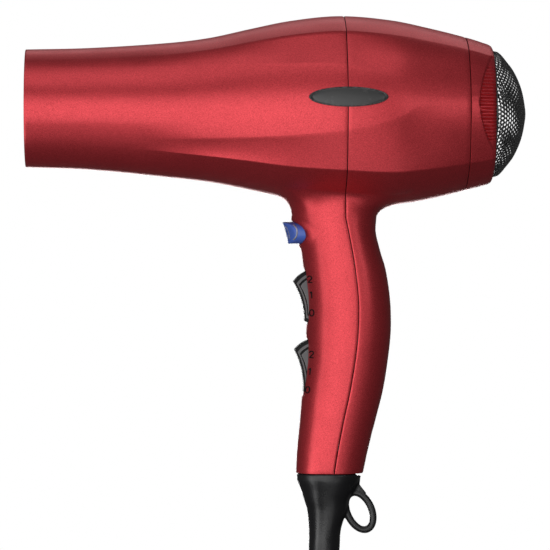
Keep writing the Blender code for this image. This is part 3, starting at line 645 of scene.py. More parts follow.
lacquer = red_lacquer()
# Near-black raw ABS for the shells' inner faces and cut edges and for the ring's bore. It is the raw plastic
# inside, made this dark as painted shade so that the seam gap and the bore read black.
raw_black_and_painted_shade = moulded("raw_black_abs_and_painted_shade", (0.010, 0.007, 0.008), 0.5, 1800.0, 0.00003,
                    worn=(0.010, 0.007, 0.008), dust=0.05)
front = half_shell("front_housing_visual", True, [lacquer, raw_black_and_painted_shade])
rear = half_shell("rear_housing_visual", False, [lacquer, raw_black_and_painted_shade])
WINDOWS = ((16.64, 12.15), (-13.61, 12.45))
tools = []
for k, (z, half) in enumerate(WINDOWS):
    outline = oval(4.85, half, 14.0, 64, (0.0, z))
    tools.append(cutter(f"window_{k}", [[(x, y, cz) for y, cz in outline] for x in (-40.0, -9.6)]))
    outline = oval(6.8, half, 14.0, 64, (0.0, z))
    tools.append(cutter(f"pocket_{k}", [[(x, y, cz) for y, cz in outline] for x in (-15.5, -9.6)]))
BUTTON_CURVE = 2.4
hole = oval(10.35, 5.1, BUTTON_CURVE, 64, (0.0, BUTTON_Z))
tools.append(cutter("button_hole", [[(cx, y, cz) for y, cz in hole] for cx in (-40.0, -12.0)]))
carve(front, tools)
SCREW_Z = (34.4, -42.0)
tools = []
for k, z in enumerate(SCREW_Z):
    back = along_table(HANDLE, z, 2)
    ring = oval(3.2, 3.2, 2.0, 32, (0.0, z))
    tools.append(cutter(f"screw_bore_{k}", [[(cx, y, cz) for y, cz in ring]
                                            for cx in (back - 5.0, back + 6.0)]))
carve(rear, tools)
for piece, node in ((front, "front_housing"), (rear, "rear_housing")):
    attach(piece, "shell")
    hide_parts(node)


# ---- The twist ring behind the rear shell: the same red lacquer, turned 20 degrees to free its bayonet.
# A lens-shaped grip is sunk into each side, ribbed along the barrel so that wet fingers can turn it.
RING_X = (50.5, 60.0, 61.6)
RING_Z = 95.2
RING_BORE = 27.6
GRIP_HALF = 20.5
GRIP_LEFT = 53.9
RIB_PITCH = 1.5


def even_loop(loop, count):
    """The closed loop walked in steps of even length, starting at its first point."""
    ends = loop[1:] + loop[:1]
    spans = [(b - a).length for a, b in zip(loop, ends)]
    total = sum(spans)
    points, k, passed = [], 0, 0.0
    for step in range(count):
        goal = total * step / count
        while passed + spans[k] < goal:
            passed += spans[k]
            k += 1
        points.append(loop[k].lerp(ends[k], (goal - passed) / spans[k]))
    return points


def grip_depth(x, y, z):
    """How far the ring's side is cut back: a sunk lens, with round ribs over its middle."""
    rise = (z - 98.9) / GRIP_HALF
    if abs(rise) > 1 or abs(y) < 12.0:
        return 0.0
    edge = GRIP_LEFT + (RING_X[1] - GRIP_LEFT) * rise**2 + 0.2
    inside = smooth_step((x - edge) / 0.35)
    ribbed = smooth_step((0.82 - abs(rise)) / 0.04)
    share = (z - 99.3) / RIB_PITCH % 1.0
    rib = smooth_step(share / 0.3) if share < 0.6 else smooth_step((1 - share) / 0.4)
    return inside * (0.5 + ribbed * 0.85 * (1 - rib))


def twist_ring():
    count = 1000
    rows = [50.5, 50.7, 51.4] + spaced(52.0, 59.4, 0.37) + [59.8, 60.0, 60.5, 61.0, 61.35, 61.6]
    loops = []
    for x in rows:
        loop = even_loop([p for p, _ in barrel_ring(min(x, 60.0))], count)
        shrink = 0.25 if x in (50.5, 61.6) else 0.0
        chamfer = max(0.0, x - 60.0) ** 1.2 * 0.55
        made = []
        for p in loop:
            away = Vector((0.0, p.y, p.z - RING_Z))
            share = 1 - (shrink + chamfer + grip_depth(x, p.y, p.z)) / away.length
            made.append(Vector((x, away.y * share, RING_Z + away.z * share)))
        loops.append(made)
    bore = ((61.6, RING_BORE + 0.3), (61.3, RING_BORE), (46.0, RING_BORE), (46.0, 29.3), (50.5, 29.3))
    for x, radius in bore:
        made = []
        for p in loops[0]:
            turn = math.atan2(p.y, p.z - RING_Z)
            made.append(Vector((x, radius * math.sin(turn), RING_Z + radius * math.cos(turn))))
        loops.append(made)
    loops.append(loops[0])
    verts = [p for loop in loops[:-1] for p in loop]
    rings = len(loops) - 1
    made = mesh_piece("intake_ring_visual", verts, walls(rings, count, True), [lacquer, raw_black_and_painted_shade], 40.0)
    for number, face in enumerate(made.data.polygons):
        # The bore and back faces take the near-black raw ABS, painted shade inside the ring.
        face.material_index = 1 if number >= (rings - 6) * count else 0
    return made


ring = twist_ring()
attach(ring, "intake_cap")
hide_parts("intake_ring")


# ---- The domed intake screen: thin steel painted satin black, pierced by rows of holes.
# The holes keep long hair out of the fan. The lint gauze sits on a flat frame inside it.
HOLE_PITCH = 2.05
HOLE_R = 0.81
SHEET = 0.35
DOME = ((61.9, 27.4), (64.5, 26.7), (67.9, 23.1), (71.4, 18.4), (74.6, 11.2), (76.5, 2.6))


def dome_x(radius):
    return along_table([(r, x) for x, r in DOME] + [(0.0, 76.68)], radius)


def dome_arc():
    """Radius of the dome against the distance walked over it from its crown."""
    table, walked, radius = [(0.0, 0.0)], 0.0, 0.0
    while radius < 27.35:
        ahead = min(radius + 0.1, 27.35)
        walked += math.hypot(ahead - radius, dome_x(ahead) - dome_x(radius))
        radius = ahead
        table.append((walked, radius))
    return table


def screen_cells(edge):
    """The flat sheet as hexagonal cells, each with its round hole left open, their shared corners welded."""
    sheet = bmesh.new()
    row_gap = HOLE_PITCH * math.sqrt(3) / 2
    rows = int(edge / row_gap) + 1
    for row in range(-rows, rows + 1):
        for column in range(-rows - 2, rows + 3):
            centre = Vector((row * row_gap, column * HOLE_PITCH + (row % 2) * HOLE_PITCH / 2, 0.0))
            if centre.length > edge - 0.6:
                continue
            inner, outer = [], []
            for k in range(12):
                way = Vector((math.sin(math.pi * k / 6), math.cos(math.pi * k / 6), 0.0))
                reach = HOLE_PITCH / 2 / (math.cos(math.pi / 6) if k % 2 else 1.0)
                inner.append(sheet.verts.new(centre + way * HOLE_R))
                outer.append(sheet.verts.new(centre + way * reach))
            for k in range(12):
                nxt = (k + 1) % 12
                sheet.faces.new((inner[k], inner[nxt], outer[nxt], outer[k]))
    bmesh.ops.remove_doubles(sheet, verts=sheet.verts, dist=0.01)
    return sheet


def intake_screen(look):
    arc = dome_arc()
    sheet = screen_cells(arc[-1][0])
    for v in sheet.verts:
        walked = v.co.length
        radius = next((r0 + (r1 - r0) * (walked - s0) / (s1 - s0)
                       for (s0, r0), (s1, r1) in zip(arc, arc[1:]) if walked <= s1), arc[-1][1])
        share = radius / walked if walked else 0.0
        v.co = Vector((dome_x(radius), v.co.x * share, v.co.y * share + RING_Z)) * MM
    sheet.normal_update()
    crown = max(sheet.faces, key=lambda f: f.calc_center_median().x)
    if crown.normal.x < 0:
        bmesh.ops.reverse_faces(sheet, faces=sheet.faces)
    data = bpy.data.meshes.new("intake_grille_visual")
    sheet.to_mesh(data)
    sheet.free()
    data.shade_smooth()
    data.materials.append(look)
    made = linked("intake_grille_visual", data)
    thicken(made, SHEET, -1.0)
    made.data.set_sharp_from_angle(angle=math.radians(40))
    return made


satin_black = moulded("satin_black_paint", (0.045, 0.045, 0.046), 0.27, 2400.0, 0.00002, dust=0.15)
screen = intake_screen(satin_black)
rim_loops = []
for x, radius in ((61.0, 26.8), (61.0, 27.4), (61.7, 27.5), (62.1, 27.4), (62.2, 27.1), (61.9, 26.8)):
    rim_loops.append([Vector((x, radius * math.sin(2 * math.pi * k / 128),
                              RING_Z + radius * math.cos(2 * math.pi * k / 128))) for k in range(128)])
rim = mesh_piece("intake_grille_rim", [p for loop in rim_loops for p in loop],
                 walls(len(rim_loops), 128, True), [satin_black], 40.0)
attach(screen, "intake_cap")
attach(rim, "intake_cap")
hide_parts("intake_grille")
finish_node("filter_frame", moulded("frame_plastic", (0.03, 0.03, 0.031), 0.5, 1800.0, 0.00003))


def gauze_finish():
    """Woven wire cloth: two crossed waves give its rounded height and painted shade, near-black in the gaps
    between the strands and darker down each strand's sides.
    """
    made, tree, shader = new_finish("lint_gauze", metallic=0.6)
    place = tree.nodes.new("ShaderNodeTexCoord").outputs["Object"]
    heights = []
    for direction in ("Y", "Z"):
        wave = tree.nodes.new("ShaderNodeTexWave")
        wave.wave_type = "BANDS"
        wave.bands_direction = direction
        wave.inputs["Scale"].default_value = 620.0
        tree.links.new(place, wave.inputs["Vector"])
        heights.append(wave.outputs["Fac"])
    woven = blend_values(tree, "MAXIMUM", heights[0], heights[1])
    # Painted shade: near-black where the gaps between strands are, darker down the sides of each strand.
    colour = mixed_colour(tree, ramp(tree, woven, 0.45, 0.8), (0.01, 0.01, 0.01), (0.16, 0.16, 0.165))
    fluff = ramp(tree, noise(tree, 130.0, 5.0, 0.7), 0.62, 0.8, 0.0, 0.5)
    tree.links.new(mixed_colour(tree, fluff, colour, (0.30, 0.29, 0.28)), shader.inputs["Base Color"])
    shader.inputs["Roughness"].default_value = 0.45
    bumped(tree, shader, woven, 0.0001)
    return made


finish_node("lint_filter", gauze_finish())


# ---- The oval badges pressed into the barrel's sides: dark grey plates, blank, each with a blacker rim.
# They bridge the seam between the two shells.
BADGE = (-1.8, 100.6, 16.7, 4.25)


def badge(name, side, looks):
    x0, z0, a, b = BADGE
    profile = [(1.0, 0.15), (0.998, 0.6), (0.975, 0.78), (0.94, 0.72), (0.925, 0.62), (0.90, 0.62)]
    profile += [(0.88, 0.70), (0.8, 0.76), (0.55, 0.84), (0.3, 0.88), (0.1, 0.90)]
    loops = []
    for share, out in profile:
        loop = []
        for k in range(96):
            turn = 2 * math.pi * k / 96
            x, z = x0 + a * share * math.cos(turn), z0 + b * share * math.sin(turn)
            loop.append(Vector((x, side * (barrel_y(x, z) + out), z)))
        loops.append(loop)
    under = [Vector((p.x, p.y - side * 0.5, p.z)) for p in loops[0]]
    loops.insert(0, under)
    made = solid_through(name + "_visual", loops, looks, 30.0)
    for face in made.data.polygons:
        centre = face.center / MM
        inside = math.hypot((centre.x - x0) / a, (centre.z - z0) / b)
        face.material_index = 0 if inside < 0.91 else 1
    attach(made, "shell")
    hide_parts(name)


badge_looks = [moulded("badge_grey", (0.058, 0.058, 0.058), 0.36, 3200.0, 0.00001, metallic=0.25),
               moulded("badge_rim", (0.008, 0.008, 0.008), 0.4, 3200.0, 0.00001)]
badge("badge_left", -1, badge_looks)
badge("badge_right", 1, badge_looks)


# ---- The two rockers in the front of the handle: grey ABS caps with black flanks, each on a 2 mm pin.
# The long face is hollow and carries fine grip lines. Heat is the upper one and speed the lower.
ROCKERS = (("heat_rocker", (-13.63, 16.64), 15.6, 8.8), ("speed_rocker", (-13.52, -13.61), 12.1, 9.2))
FLANK = 4.6
FACE = 7.9
PIN_RADIUS = 1.0
PIN_REACH = 6.0


def rocker_profile(half):
    """Side outline of a rocker about its pin: the hollow face first, flagged, then round the back."""
    points = []
    steps = 36
    for k in range(steps + 1):
        share = 2 * k / steps - 1
        hollow = 1.15 * (1 - share**2)
        groove = 0.16 * (0.5 - 0.5 * math.cos(2 * math.pi * k / 2)) if 4 < k < steps - 4 else 0.0
        points.append((FACE - hollow - groove, -share * half, True))
    radius = math.hypot(half, FACE)
    start = math.atan2(half, FACE)
    for side in (-1, 1):
        arc = []
        for k in range(1, 9):
            turn = start + (math.radians(96) - start) * k / 8
            arc.append((radius * math.cos(turn), side * radius * math.sin(turn), False))
        points += arc if side < 0 else [(-2.6, -5.0, False), (-2.6, 5.0, False)] + arc[::-1]
    return points


def rocker(name, pivot, tilt, half, looks):
    profile = rocker_profile(half)
    inset = ((FLANK, 0.45), (FLANK - 0.12, 0.12), (FLANK - 0.5, 0.0), (FLANK - 1.15, 0.0),
             (FLANK - 1.3, 0.28), (FLANK - 1.5, 0.28), (FLANK - 1.65, 0.0), (0.0, 0.0))
    rows = [(-y, d) for y, d in inset] + [(y, d) for y, d in inset[-2::-1]]
    c, s = math.cos(math.radians(tilt)), math.sin(math.radians(tilt))
    loops = []
    for y, drop in rows:
        loop = []
        for a, b, _ in profile:
            reach = math.hypot(a, b)
            share = 1 - drop / reach
            a, b = a * share, b * share
            loop.append(Vector((pivot[0] - a * c - b * s, y, pivot[1] - a * s + b * c)))
        loops.append(loop)
    count = len(profile)
    verts = [p for loop in loops for p in loop]
    faces = walls(len(loops), count)
    face_colour = []
    for i in range(len(loops) - 1):
        middle = abs(rows[i][0] + rows[i + 1][0]) / 2
        for j in range(count):
            on_face = profile[j][2] and profile[(j + 1) % count][2]
            face_colour.append(0 if on_face and middle < FLANK - 1.6 else 1)
    for side, edge in ((-1, 0), (1, (len(loops) - 1) * count)):
        ring_start = edge
        for share, sink, look in ((0.865, -0.05, 1), (0.775, 0.0, 0), (0.76, 0.3, 1), (0.705, 0.3, 1),
                                  (0.69, 0.0, 1), (0.3, 0.0, 0)):
            base = len(verts)
            for a, b, _ in profile:
                a, b = a * share, b * share
                verts.append(Vector((pivot[0] - a * c - b * s, side * (FLANK - sink),
                                     pivot[1] - a * s + b * c)))
            faces += [(ring_start + j, ring_start + (j + 1) % count, base + (j + 1) % count, base + j)
                      for j in range(count)]
            face_colour += [look] * count
            ring_start = base
        faces.append(tuple(range(ring_start, ring_start + count)))
        face_colour.append(0)
    made = mesh_piece(name + "_visual", verts, faces, looks, 28.0)
    made.data.polygons.foreach_set("material_index", face_colour)
    for side in (-1, 1):
        turns = [2 * math.pi * k / 24 for k in range(24)]
        pin_loops = [[Vector((pivot[0] + PIN_RADIUS * math.cos(turn), y, pivot[1] + PIN_RADIUS * math.sin(turn)))
                      for turn in turns] for y in (side * (FLANK - 0.6), side * PIN_REACH)]
        pin = cutter(f"{name}_pin_{side}", pin_loops)
        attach(pin, name)
        pin.data.materials.append(looks[1])
    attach(made, name)
    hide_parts(name)


rocker_looks = [moulded("rocker_grey", (0.125, 0.125, 0.127), 0.38, 2800.0, 0.00002, worn=(0.3, 0.3, 0.3)),
                moulded("rocker_black", (0.005, 0.005, 0.005), 0.55, 2800.0, 0.00002,
                        worn=(0.008, 0.008, 0.008), dust=0.0, specular=0.25)]
for rocker_name, pivot, tilt, half in ROCKERS:
    rocker(rocker_name, pivot, tilt, half, rocker_looks)
switch_black = moulded("switch_phenolic", (0.016, 0.016, 0.016), 0.5, 1600.0, 0.00004)
for node in ("heat_switch_body", "speed_switch_body", "cool_shot_switch"):
    finish_node(node, switch_black)


# ---- Position marks beside the rockers: pad-printed in black on the lacquer, plain numerals.
# They follow the skin of the handle and stand a hair above it.
def digit_strokes(digit):
    """Strokes of a plain numeral in a box 1 wide and 1.5 tall."""
    if digit == "0":
        return [[(0.5 + 0.42 * math.cos(2 * math.pi * k / 20), 0.75 + 0.68 * math.sin(2 * math.pi * k / 20))
                 for k in range(21)]]
    if digit == "1":
        return [[(0.2, 1.15), (0.55, 1.45), (0.55, 0.05)]]
    turns = [math.pi * (1 - 1.15 * k / 10) for k in range(11)]
    arc = [(0.5 + 0.4 * math.cos(turn), 1.03 + 0.4 * math.sin(turn)) for turn in turns]
    return [arc + [(0.1, 0.05), (0.92, 0.05)]]


def printed_line(points, weight, placed, verts, faces):
    """Adds a flat line of this width through the points. placed gives where each point of its edges lies."""
    base = len(verts)
    for k, (a, b) in enumerate(points):
        before, after = points[max(k - 1, 0)], points[min(k + 1, len(points) - 1)]
        along = Vector((after[0] - before[0], after[1] - before[1])).normalized()
        verts += [placed(a - along.y * half, b + along.x * half) for half in (-weight / 2, weight / 2)]
    faces += [(base + 2 * k, base + 2 * k + 1, base + 2 * k + 3, base + 2 * k + 2)
              for k in range(len(points) - 1)]


def printed_digit(digit, turn_at, height, size, verts, faces):
    for side in (-1, 1):
        for stroke in digit_strokes(digit):
            fine = []
            for (a0, b0), (a1, b1) in zip(stroke, stroke[1:]):
                parts = max(1, round(math.hypot(a1 - a0, b1 - b0) / 0.15))
                fine += [(a0 + (a1 - a0) * k / parts, b0 + (b1 - b0) * k / parts) for k in range(parts)]
            fine.append(stroke[-1])
            printed_line([((a - 0.5) * size, (b - 0.75) * size) for a, b in fine], 0.24 * size,
                         lambda u, w: on_handle_side(turn_at + u, height + w, side), verts, faces)


def on_handle_side(along, z, side):
    """A point just above the skin, this far back from the front of the handle measured along x."""
    front, half, seam = (along_table(HANDLE, z, k) for k in (1, 3, 4))
    x = front + along
    share = min((seam - x) / (seam - front), 1.0)
    y = half * (1 - abs(share) ** HANDLE_CURVE) ** (1 / HANDLE_CURVE)
    out = Vector((-(abs(share) ** 1.2) * half, (abs(y) / half) ** 1.2 * (seam - front))).normalized()
    return Vector((x + out.x * 0.04, side * (y + out.y * 0.04), z))


ink = moulded("printing_ink", (0.006, 0.004, 0.005), 0.6, 3200.0, 0.00001,
              worn=(0.006, 0.004, 0.005), dust=0.0, specular=0.2)
mark_verts, mark_faces = [], []
for height, digit in ((24.0, "2"), (17.2, "1"), (9.6, "0"), (-8.2, "2"), (-15.6, "1"), (-23.4, "0")):
    printed_digit(digit, 1.9, height, 2.0, mark_verts, mark_faces)
marks = mesh_piece("position_marks", mark_verts, mark_faces, [ink], None)
thicken(marks, 0.05)
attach(marks, "shell")


# ---- The cold-air button: blue ABS with a slanting, dished face and a soft edge, held out by a coil spring.
# A pale snow-star is printed on its thumb face.
BUTTON_HALF = (10.0, 4.75)


def button_x(y, z):
    return -28.3 + 0.26 * (BUTTON_Z + BUTTON_HALF[1] - z) + y * y / 24.0


def cold_button(looks):
    loops = []
    pocket = (3.95, 3.95)
    for x, half, power in ((-18.2, pocket, 2.0), (-14.6, pocket, 2.0),
                           (-14.6, BUTTON_HALF, BUTTON_CURVE), (-18.0, BUTTON_HALF, BUTTON_CURVE)):
        loops.append([Vector((x, y, z)) for y, z in oval(*half, power, 96, (0.0, BUTTON_Z))])
    for share, back in ((1.0, 1.3), (0.992, 0.75), (0.972, 0.35), (0.94, 0.1), (0.90, 0.0), (0.8, 0.12),
                        (0.6, 0.3), (0.4, 0.42), (0.2, 0.47), (0.05, 0.48)):
        outline = oval(BUTTON_HALF[0] * share, BUTTON_HALF[1] * share, BUTTON_CURVE, 96, (0.0, BUTTON_Z))
        loops.append([Vector((button_x(y, z) + back, y, z)) for y, z in outline])
    return solid_through("cool_shot_button_visual", loops, looks, 50.0)


button_blue = moulded("button_blue", (0.080, 0.165, 0.62), 0.36, 2600.0, 0.00002, worn=(0.25, 0.36, 0.75))
button = cold_button([button_blue])
stem = cutter("button_stem", [round_loop(x, 2.0, BUTTON_Z, 32) for x in (-18.4, -10.2)])
stem.data.materials.append(button_blue)
pale_ink = moulded("pale_printing_ink", (0.62, 0.66, 0.74), 0.5, 3200.0, 0.00001, dust=0.0)
star_verts, star_faces = [], []


def on_thumb_face(y, w):
    """A point just above the dished face, this high above the button's middle."""
    across, up = abs(y) / BUTTON_HALF[0], abs(w) / BUTTON_HALF[1]
    share = (across**BUTTON_CURVE + up**BUTTON_CURVE) ** (1 / BUTTON_CURVE)
    dish = 0.48 * smooth_step((0.95 - share) / 0.95) if share < 0.95 else 0.0
    return (button_x(y, BUTTON_Z + w) + dish - 0.06, y, BUTTON_Z + w)


for k in range(3):
    turn = math.pi * k / 3
    arm = [(2.1 * t * math.cos(turn), 2.1 * t * math.sin(turn)) for t in (-1, -0.5, 0, 0.5, 1)]
    printed_line(arm, 0.42, on_thumb_face, star_verts, star_faces)
for side in (-1, 1):
    turns = [a / 8 * math.pi - math.pi / 2 for a in range(9)]
    printed_line([(side * (4.0 + 1.3 * math.cos(turn)), 2.6 * math.sin(turn)) for turn in turns], 0.5,
                 on_thumb_face, star_verts, star_faces)


def on_button_side(x, w, side):
    """A point just outside the button's rounded side, this high above its middle."""
    y = BUTTON_HALF[0] * (1 - (abs(w) / BUTTON_HALF[1]) ** BUTTON_CURVE) ** (1 / BUTTON_CURVE)
    return (x, side * (y + 0.03), BUTTON_Z + w)


bow = [(-24.6 + 2.3 * math.cos(a), 0.2 + 3.4 * math.sin(a))
       for a in (math.pi * (k / 12 - 0.5) * 0.8 for k in range(13))]
for side in (-1, 1):
    printed_line(bow, 0.55, lambda x, w: on_button_side(x, w, side), star_verts, star_faces)
star = mesh_piece("button_star", star_verts, star_faces, [pale_ink], None)
thicken(star, 0.08)
for piece in (button, stem, star):
    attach(piece, "cool_shot_button")
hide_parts("cool_shot_button")


# ---- The cord boot: soft black PVC clamped in the foot of the handle, tapering to the cord.
# A hanging ring is moulded in one with it and leans back from the handle.
BOOT_ROWS = (
    (-50.0, -17.5, 1.5, 8.0), (-59.45, -17.5, 1.5, 8.0), (-59.6, -22.0, 5.7, 12.0),
    (-60.4, -22.05, 5.7, 12.0), (-62.4, -21.9, 5.0, 11.8), (-66.7, -20.2, 2.8, 10.6),
    (-71.0, -18.9, 0.4, 9.4), (-75.3, -17.6, -0.4, 8.4), (-83.9, -16.8, -3.0, 7.2),
    (-92.5, -16.9, -3.6, 6.7), (-104.0, -16.6, -5.2, 5.6), (-116.0, -16.0, -6.8, 4.7),
)
LOOP_AT = (5.0, -75.9)
LOOP_LEAN = math.radians(25)


def boot_body():
    heights = [-50.0, -59.45, -59.6, -60.4] + spaced(-62.4, -115.0, 1.4) + [-115.6, -116.0]
    table = [(-z, front, back, half) for z, front, back, half in BOOT_ROWS]
    loops = []
    for z in heights:
        front, back, half = (along_table(table, -z, k) for k in (1, 2, 3))
        trim = {-115.6: 0.1, -116.0: 0.5}.get(z, 0.0)
        loops.append([Vector((x, y, z)) for x, y in
                      oval((back - front) / 2 - trim, half - trim, 2.2, 72, ((front + back) / 2, 0.0))])
    return cutter("cord_boot_visual", loops)


def hang_ring():
    loops = []
    for k in range(96):
        turn = 2 * math.pi * k / 96
        c, s = math.cos(turn), math.sin(turn)
        loop = []
        for j in range(20):
            around = 2 * math.pi * j / 20
            grow = 1.55 * math.copysign(abs(math.cos(around)) ** 0.8, math.cos(around))
            y = 2.0 * math.copysign(abs(math.sin(around)) ** 0.8, math.sin(around))
            a, b = (5.2 + grow) * c, (8.5 + grow) * s
            loop.append(Vector((LOOP_AT[0] + a * math.cos(LOOP_LEAN) - b * math.sin(LOOP_LEAN), y,
                                LOOP_AT[1] + a * math.sin(LOOP_LEAN) + b * math.cos(LOOP_LEAN))))
        loops.append(loop)
    verts = [p for loop in loops for p in loop]
    return mesh_piece("hang_ring", verts, walls(96, 20, True), [], None)


def boot_rubber():
    """Black PVC with a low sheen, faint moulding lines along it and pale scuffs where it rubs on a shelf."""
    made, tree, shader = new_finish("boot_rubber", specular=0.55)
    skin = tree.nodes.new("ShaderNodeGroup")
    skin.node_tree = mould_grain
    skin.inputs["Grain Scale"].default_value = 1500.0
    skin.inputs["Roughness"].default_value = 0.31
    scuffs = ramp(tree, noise(tree, 160.0, 6.0, 0.7), 0.62, 0.78, 0.0, 0.35)
    tree.links.new(mixed_colour(tree, scuffs, (0.012, 0.012, 0.013), (0.07, 0.07, 0.07)),
                   shader.inputs["Base Color"])
    tree.links.new(skin.outputs["Roughness"], shader.inputs["Roughness"])
    bumped(tree, shader, skin.outputs["Height"], 0.00004)
    return made


boot = boot_body()
TAB = ((-3.0, -60.0), (5.5, -60.0), (5.0, -64.4), (7.9, -68.1), (4.6, -68.9), (0.8, -67.9), (-3.0, -70.0))
tab = cutter("ring_tab", [[(x, y, z) for x, z in TAB] for y in (-1.8, 1.8)])
carve(boot, [hang_ring(), tab], "UNION")
NOTCH = ((3.4, -59.0), (8.0, -59.0), (8.0, -60.35), (3.4, -60.35))
notch = cutter("ring_notch", [[(x, y, z) for x, z in NOTCH] for y in (-13.0, 13.0)])
carve(boot, [notch])
fuse = boot.modifiers.new("fuse", "REMESH")
fuse.mode = "VOXEL"
fuse.voxel_size = 0.34 * MM
soften = boot.modifiers.new("soften", "SMOOTH")
soften.factor = 0.5
soften.iterations = 6
settle(boot)
boot.data.shade_smooth()
boot.data.materials.clear()
boot.data.materials.append(boot_rubber())
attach(boot, "shell")
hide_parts("cord_boot")


# ---- The plug: a black leakage-breaker body with two brass blades and its white test and blue reset keys.
# The cord enters through a tapered relief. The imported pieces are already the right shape.
finish_node("plug_body", moulded("plug_plastic", (0.018, 0.018, 0.019), 0.42, 1300.0, 0.00006))
finish_node("plug_relief", cord_vinyl)
finish_node("plug_test_button", moulded("test_key_white", (0.72, 0.72, 0.70), 0.4, 2000.0, 0.00002,
                                        worn=(0.5, 0.5, 0.48)))
finish_node("plug_reset_button", button_blue)


def bare_metal(name, colour, roughness, along, tarnish, tarnish_share=0.35):
    """Bare metal: fine drawing lines along one direction and a cloudy tarnish."""
    made, tree, shader = new_finish(name, metallic=1.0)
    lines = noise(tree, 700.0, 3.0, 0.6, along)
    cloud = ramp(tree, noise(tree, 140.0, 5.0, 0.65), 0.35, 0.75, 0.0, tarnish_share)
    tree.links.new(mixed_colour(tree, cloud, colour, tarnish), shader.inputs["Base Color"])
    tree.links.new(ramp(tree, lines, 0.25, 0.75, roughness - 0.08, roughness + 0.12),
                   shader.inputs["Roughness"])
    bumped(tree, shader, lines, 0.00001)
    return made


brass = bare_metal("brass", (0.72, 0.53, 0.25), 0.3, (3.0, 3.0, 0.15), (0.36, 0.24, 0.12))
finish_node("plug_blade_left", brass)
finish_node("plug_blade_right", brass)


# ---- The two screws behind the handle: cross-head steel, holding the rear shell, each deep in its bore.
# Their heads show their drive slots from behind.
steel = bare_metal("screw_steel", (0.55, 0.55, 0.57), 0.3, (1.0, 1.0, 1.0), (0.22, 0.21, 0.20))
for node, z in zip(("shell_screw_upper", "shell_screw_lower"), SCREW_Z):
    seat = along_table(HANDLE, z, 4) + 3.5
    profile = [(seat - 14.0, 0.4), (seat - 12.6, 1.0)]
    for k in range(22):
        x = seat - 12.6 + k * 0.57
        profile += [(x + 0.1, 1.0), (x + 0.28, 1.38), (x + 0.42, 1.0)]
    profile += [(seat, 1.1), (seat, 2.9), (seat + 0.9, 2.9), (seat + 1.5, 2.6), (seat + 1.8, 1.9)]
    screw = cutter(node + "_visual", [round_loop(x, r, z, 32) for x, r in profile])
    slots = []
    for k, (wide, tall) in enumerate(((0.35, 1.6), (1.6, 0.35))):
        slots.append(cutter(f"drive_slot_{k}", [[Vector((x, y, z + dz)) for y, dz in
                                                 ((-wide, -tall), (wide, -tall), (wide, tall), (-wide, tall))]
                                                for x in (seat + 0.5, seat + 3.0)]))
    carve(screw, slots)
    screw.data.materials.clear()
    screw.data.materials.append(steel)
    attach(screw, "shell")
    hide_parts(node)


# ---- The working parts inside: mica heater with its two coils, motor, fan, leads and the cord clamp.
# They show only through the outlet, through the screen, and when the screen is off.
mica = moulded("mica_sheet", (0.60, 0.50, 0.33), 0.38, 500.0, 0.00008, worn=(0.7, 0.6, 0.45), dust=0.1)
grey_resin = moulded("heat_proof_resin", (0.085, 0.085, 0.088), 0.5, 1400.0, 0.00005)
fan_resin = moulded("fan_resin", (0.03, 0.03, 0.032), 0.4, 1600.0, 0.00003, dust=0.6)
copper = bare_metal("copper", (0.72, 0.34, 0.18), 0.35, (1.0, 6.0, 6.0), (0.35, 0.15, 0.09))
heat_wire = bare_metal("heating_wire", (0.46, 0.42, 0.37), 0.4, (1.0, 1.0, 1.0), (0.16, 0.15, 0.18), 0.6)
zinc = bare_metal("zinc_plate", (0.62, 0.63, 0.64), 0.32, (4.0, 1.0, 1.0), (0.40, 0.41, 0.42))
finishes = {
    "outlet_grille": grey_resin, "mica_tube": mica, "mica_board_upright": mica, "mica_board_level": mica,
    "heating_coil_front": heat_wire, "heating_coil_rear": heat_wire, "thermostat": zinc,
    "thermal_fuse": moulded("fuse_ceramic", (0.70, 0.68, 0.62), 0.5, 900.0, 0.00003),
    "motor_can": zinc, "motor_end_cap": grey_resin, "motor_shaft": steel, "bearing_front": brass,
    "bearing_rear": brass, "armature": copper, "commutator": copper, "impeller": fan_resin,
    "fan_shroud": grey_resin, "motor_mount": grey_resin,
    "rectifier_board": moulded("board_laminate", (0.035, 0.17, 0.075), 0.4, 700.0, 0.00004, dust=0.1),
    "cool_shot_spring": steel, "cord_clamp": zinc,
}
lead_red = moulded("lead_red", (0.45, 0.02, 0.02), 0.42, 1500.0, 0.00003)
lead_white = moulded("lead_white", (0.70, 0.69, 0.65), 0.42, 1500.0, 0.00003, worn=(0.5, 0.49, 0.45))
finishes.update({"supply_lead_live": lead_red, "heater_lead": lead_red, "supply_lead_neutral": lead_white,
                 "motor_lead": lead_white})
for node, finish in finishes.items():
    finish_node(node, finish)


# ---- The room: a pale floor well under the dryer and soft studio light on a white ground.
# The main panels light the dryer from the viewer's side, from above and from both ends. Two small ones fill
# under the barrel and behind the handle, and two more light its back.
def light_panel(name, place, aim, width, height, power):
    data = bpy.data.lights.new(name, "AREA")
    data.shape = "RECTANGLE"
    data.size = width
    data.size_y = height
    data.energy = power
    made = linked(name, data)
    made.location = place
    made.rotation_euler = (Vector(aim) - Vector(place)).to_track_quat("-Z", "Y").to_euler()
    made.visible_camera = False
    return made


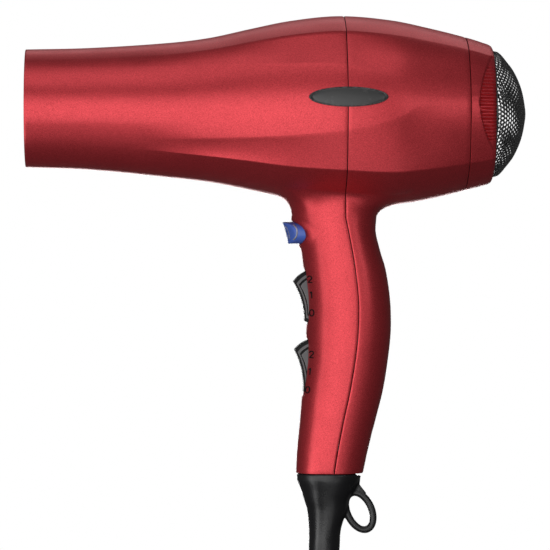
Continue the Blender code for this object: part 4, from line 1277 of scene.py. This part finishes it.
light_panel("front_panel", (-0.56, -1.6, -0.06), (-0.03, 0.0, 0.06), 1.6, 1.45, 12.8)
light_panel("upper_panel", (-0.25, -0.75, 1.35), (-0.03, 0.0, 0.09), 1.6, 1.0, 4.8)
light_panel("left_panel", (-1.42, -0.85, 0.0), (0.0, 0.0, 0.0), 0.5, 0.9, 2.5)
light_panel("right_panel", (0.70, -1.25, 0.30), (0.05, 0.0, 0.10), 0.5, 0.5, 1.5)
light_panel("low_strip", (-0.27, -0.20, -0.17), (-0.01, 0.0, -0.08), 0.10, 0.22, 0.16)
light_panel("under_panel", (0.06, -0.42, -0.27), (0.02, 0.0, 0.08), 0.34, 0.14, 0.16)
light_panel("back_top_panel", (0.25, 1.15, 1.35), (0.0, 0.0, 0.0), 1.4, 0.9, 2.8)
light_panel("back_panel", (0.0, 1.8, 0.0), (0.0, 0.0, 0.0), 0.7, 0.7, 9.0)
world = bpy.data.worlds.new("white_room")
bpy.context.scene.world = world
world.use_nodes = True
sky = world.node_tree
background = sky.nodes["Background"]
seen = sky.nodes.new("ShaderNodeLightPath")
tone = sky.nodes.new("ShaderNodeMapRange")
tone.inputs["To Min"].default_value = 0.055
tone.inputs["To Max"].default_value = 1.0
sky.links.new(seen.outputs["Is Camera Ray"], tone.inputs["Value"])
sky.links.new(tone.outputs["Result"], background.inputs["Strength"])
background.inputs["Color"].default_value = (1.0, 1.0, 1.0, 1.0)
floor_verts = [(700.0 * math.cos(2 * math.pi * k / 96) - 20.0, 700.0 * math.sin(2 * math.pi * k / 96), -303.0)
               for k in range(96)]
floor_finish, floor_tree, floor_shader = new_finish("pale_floor")
floor_shader.inputs["Roughness"].default_value = 0.7
floor_tone = mixed_colour(floor_tree, noise(floor_tree, 6.0, 3.0), (0.86, 0.86, 0.86), (0.90, 0.90, 0.90))
floor_seen = floor_tree.nodes.new("ShaderNodeLightPath").outputs["Is Camera Ray"]
floor_tree.links.new(mixed_colour(floor_tree, floor_seen, (0.08, 0.08, 0.08), floor_tone),
                     floor_shader.inputs["Base Color"])
floor_tree.links.new(floor_seen, floor_shader.inputs["Emission Strength"])
floor_shader.inputs["Emission Color"].default_value = (0.55, 0.55, 0.55, 1.0)
floor = mesh_piece("floor", floor_verts, [tuple(range(96))], [floor_finish], None)
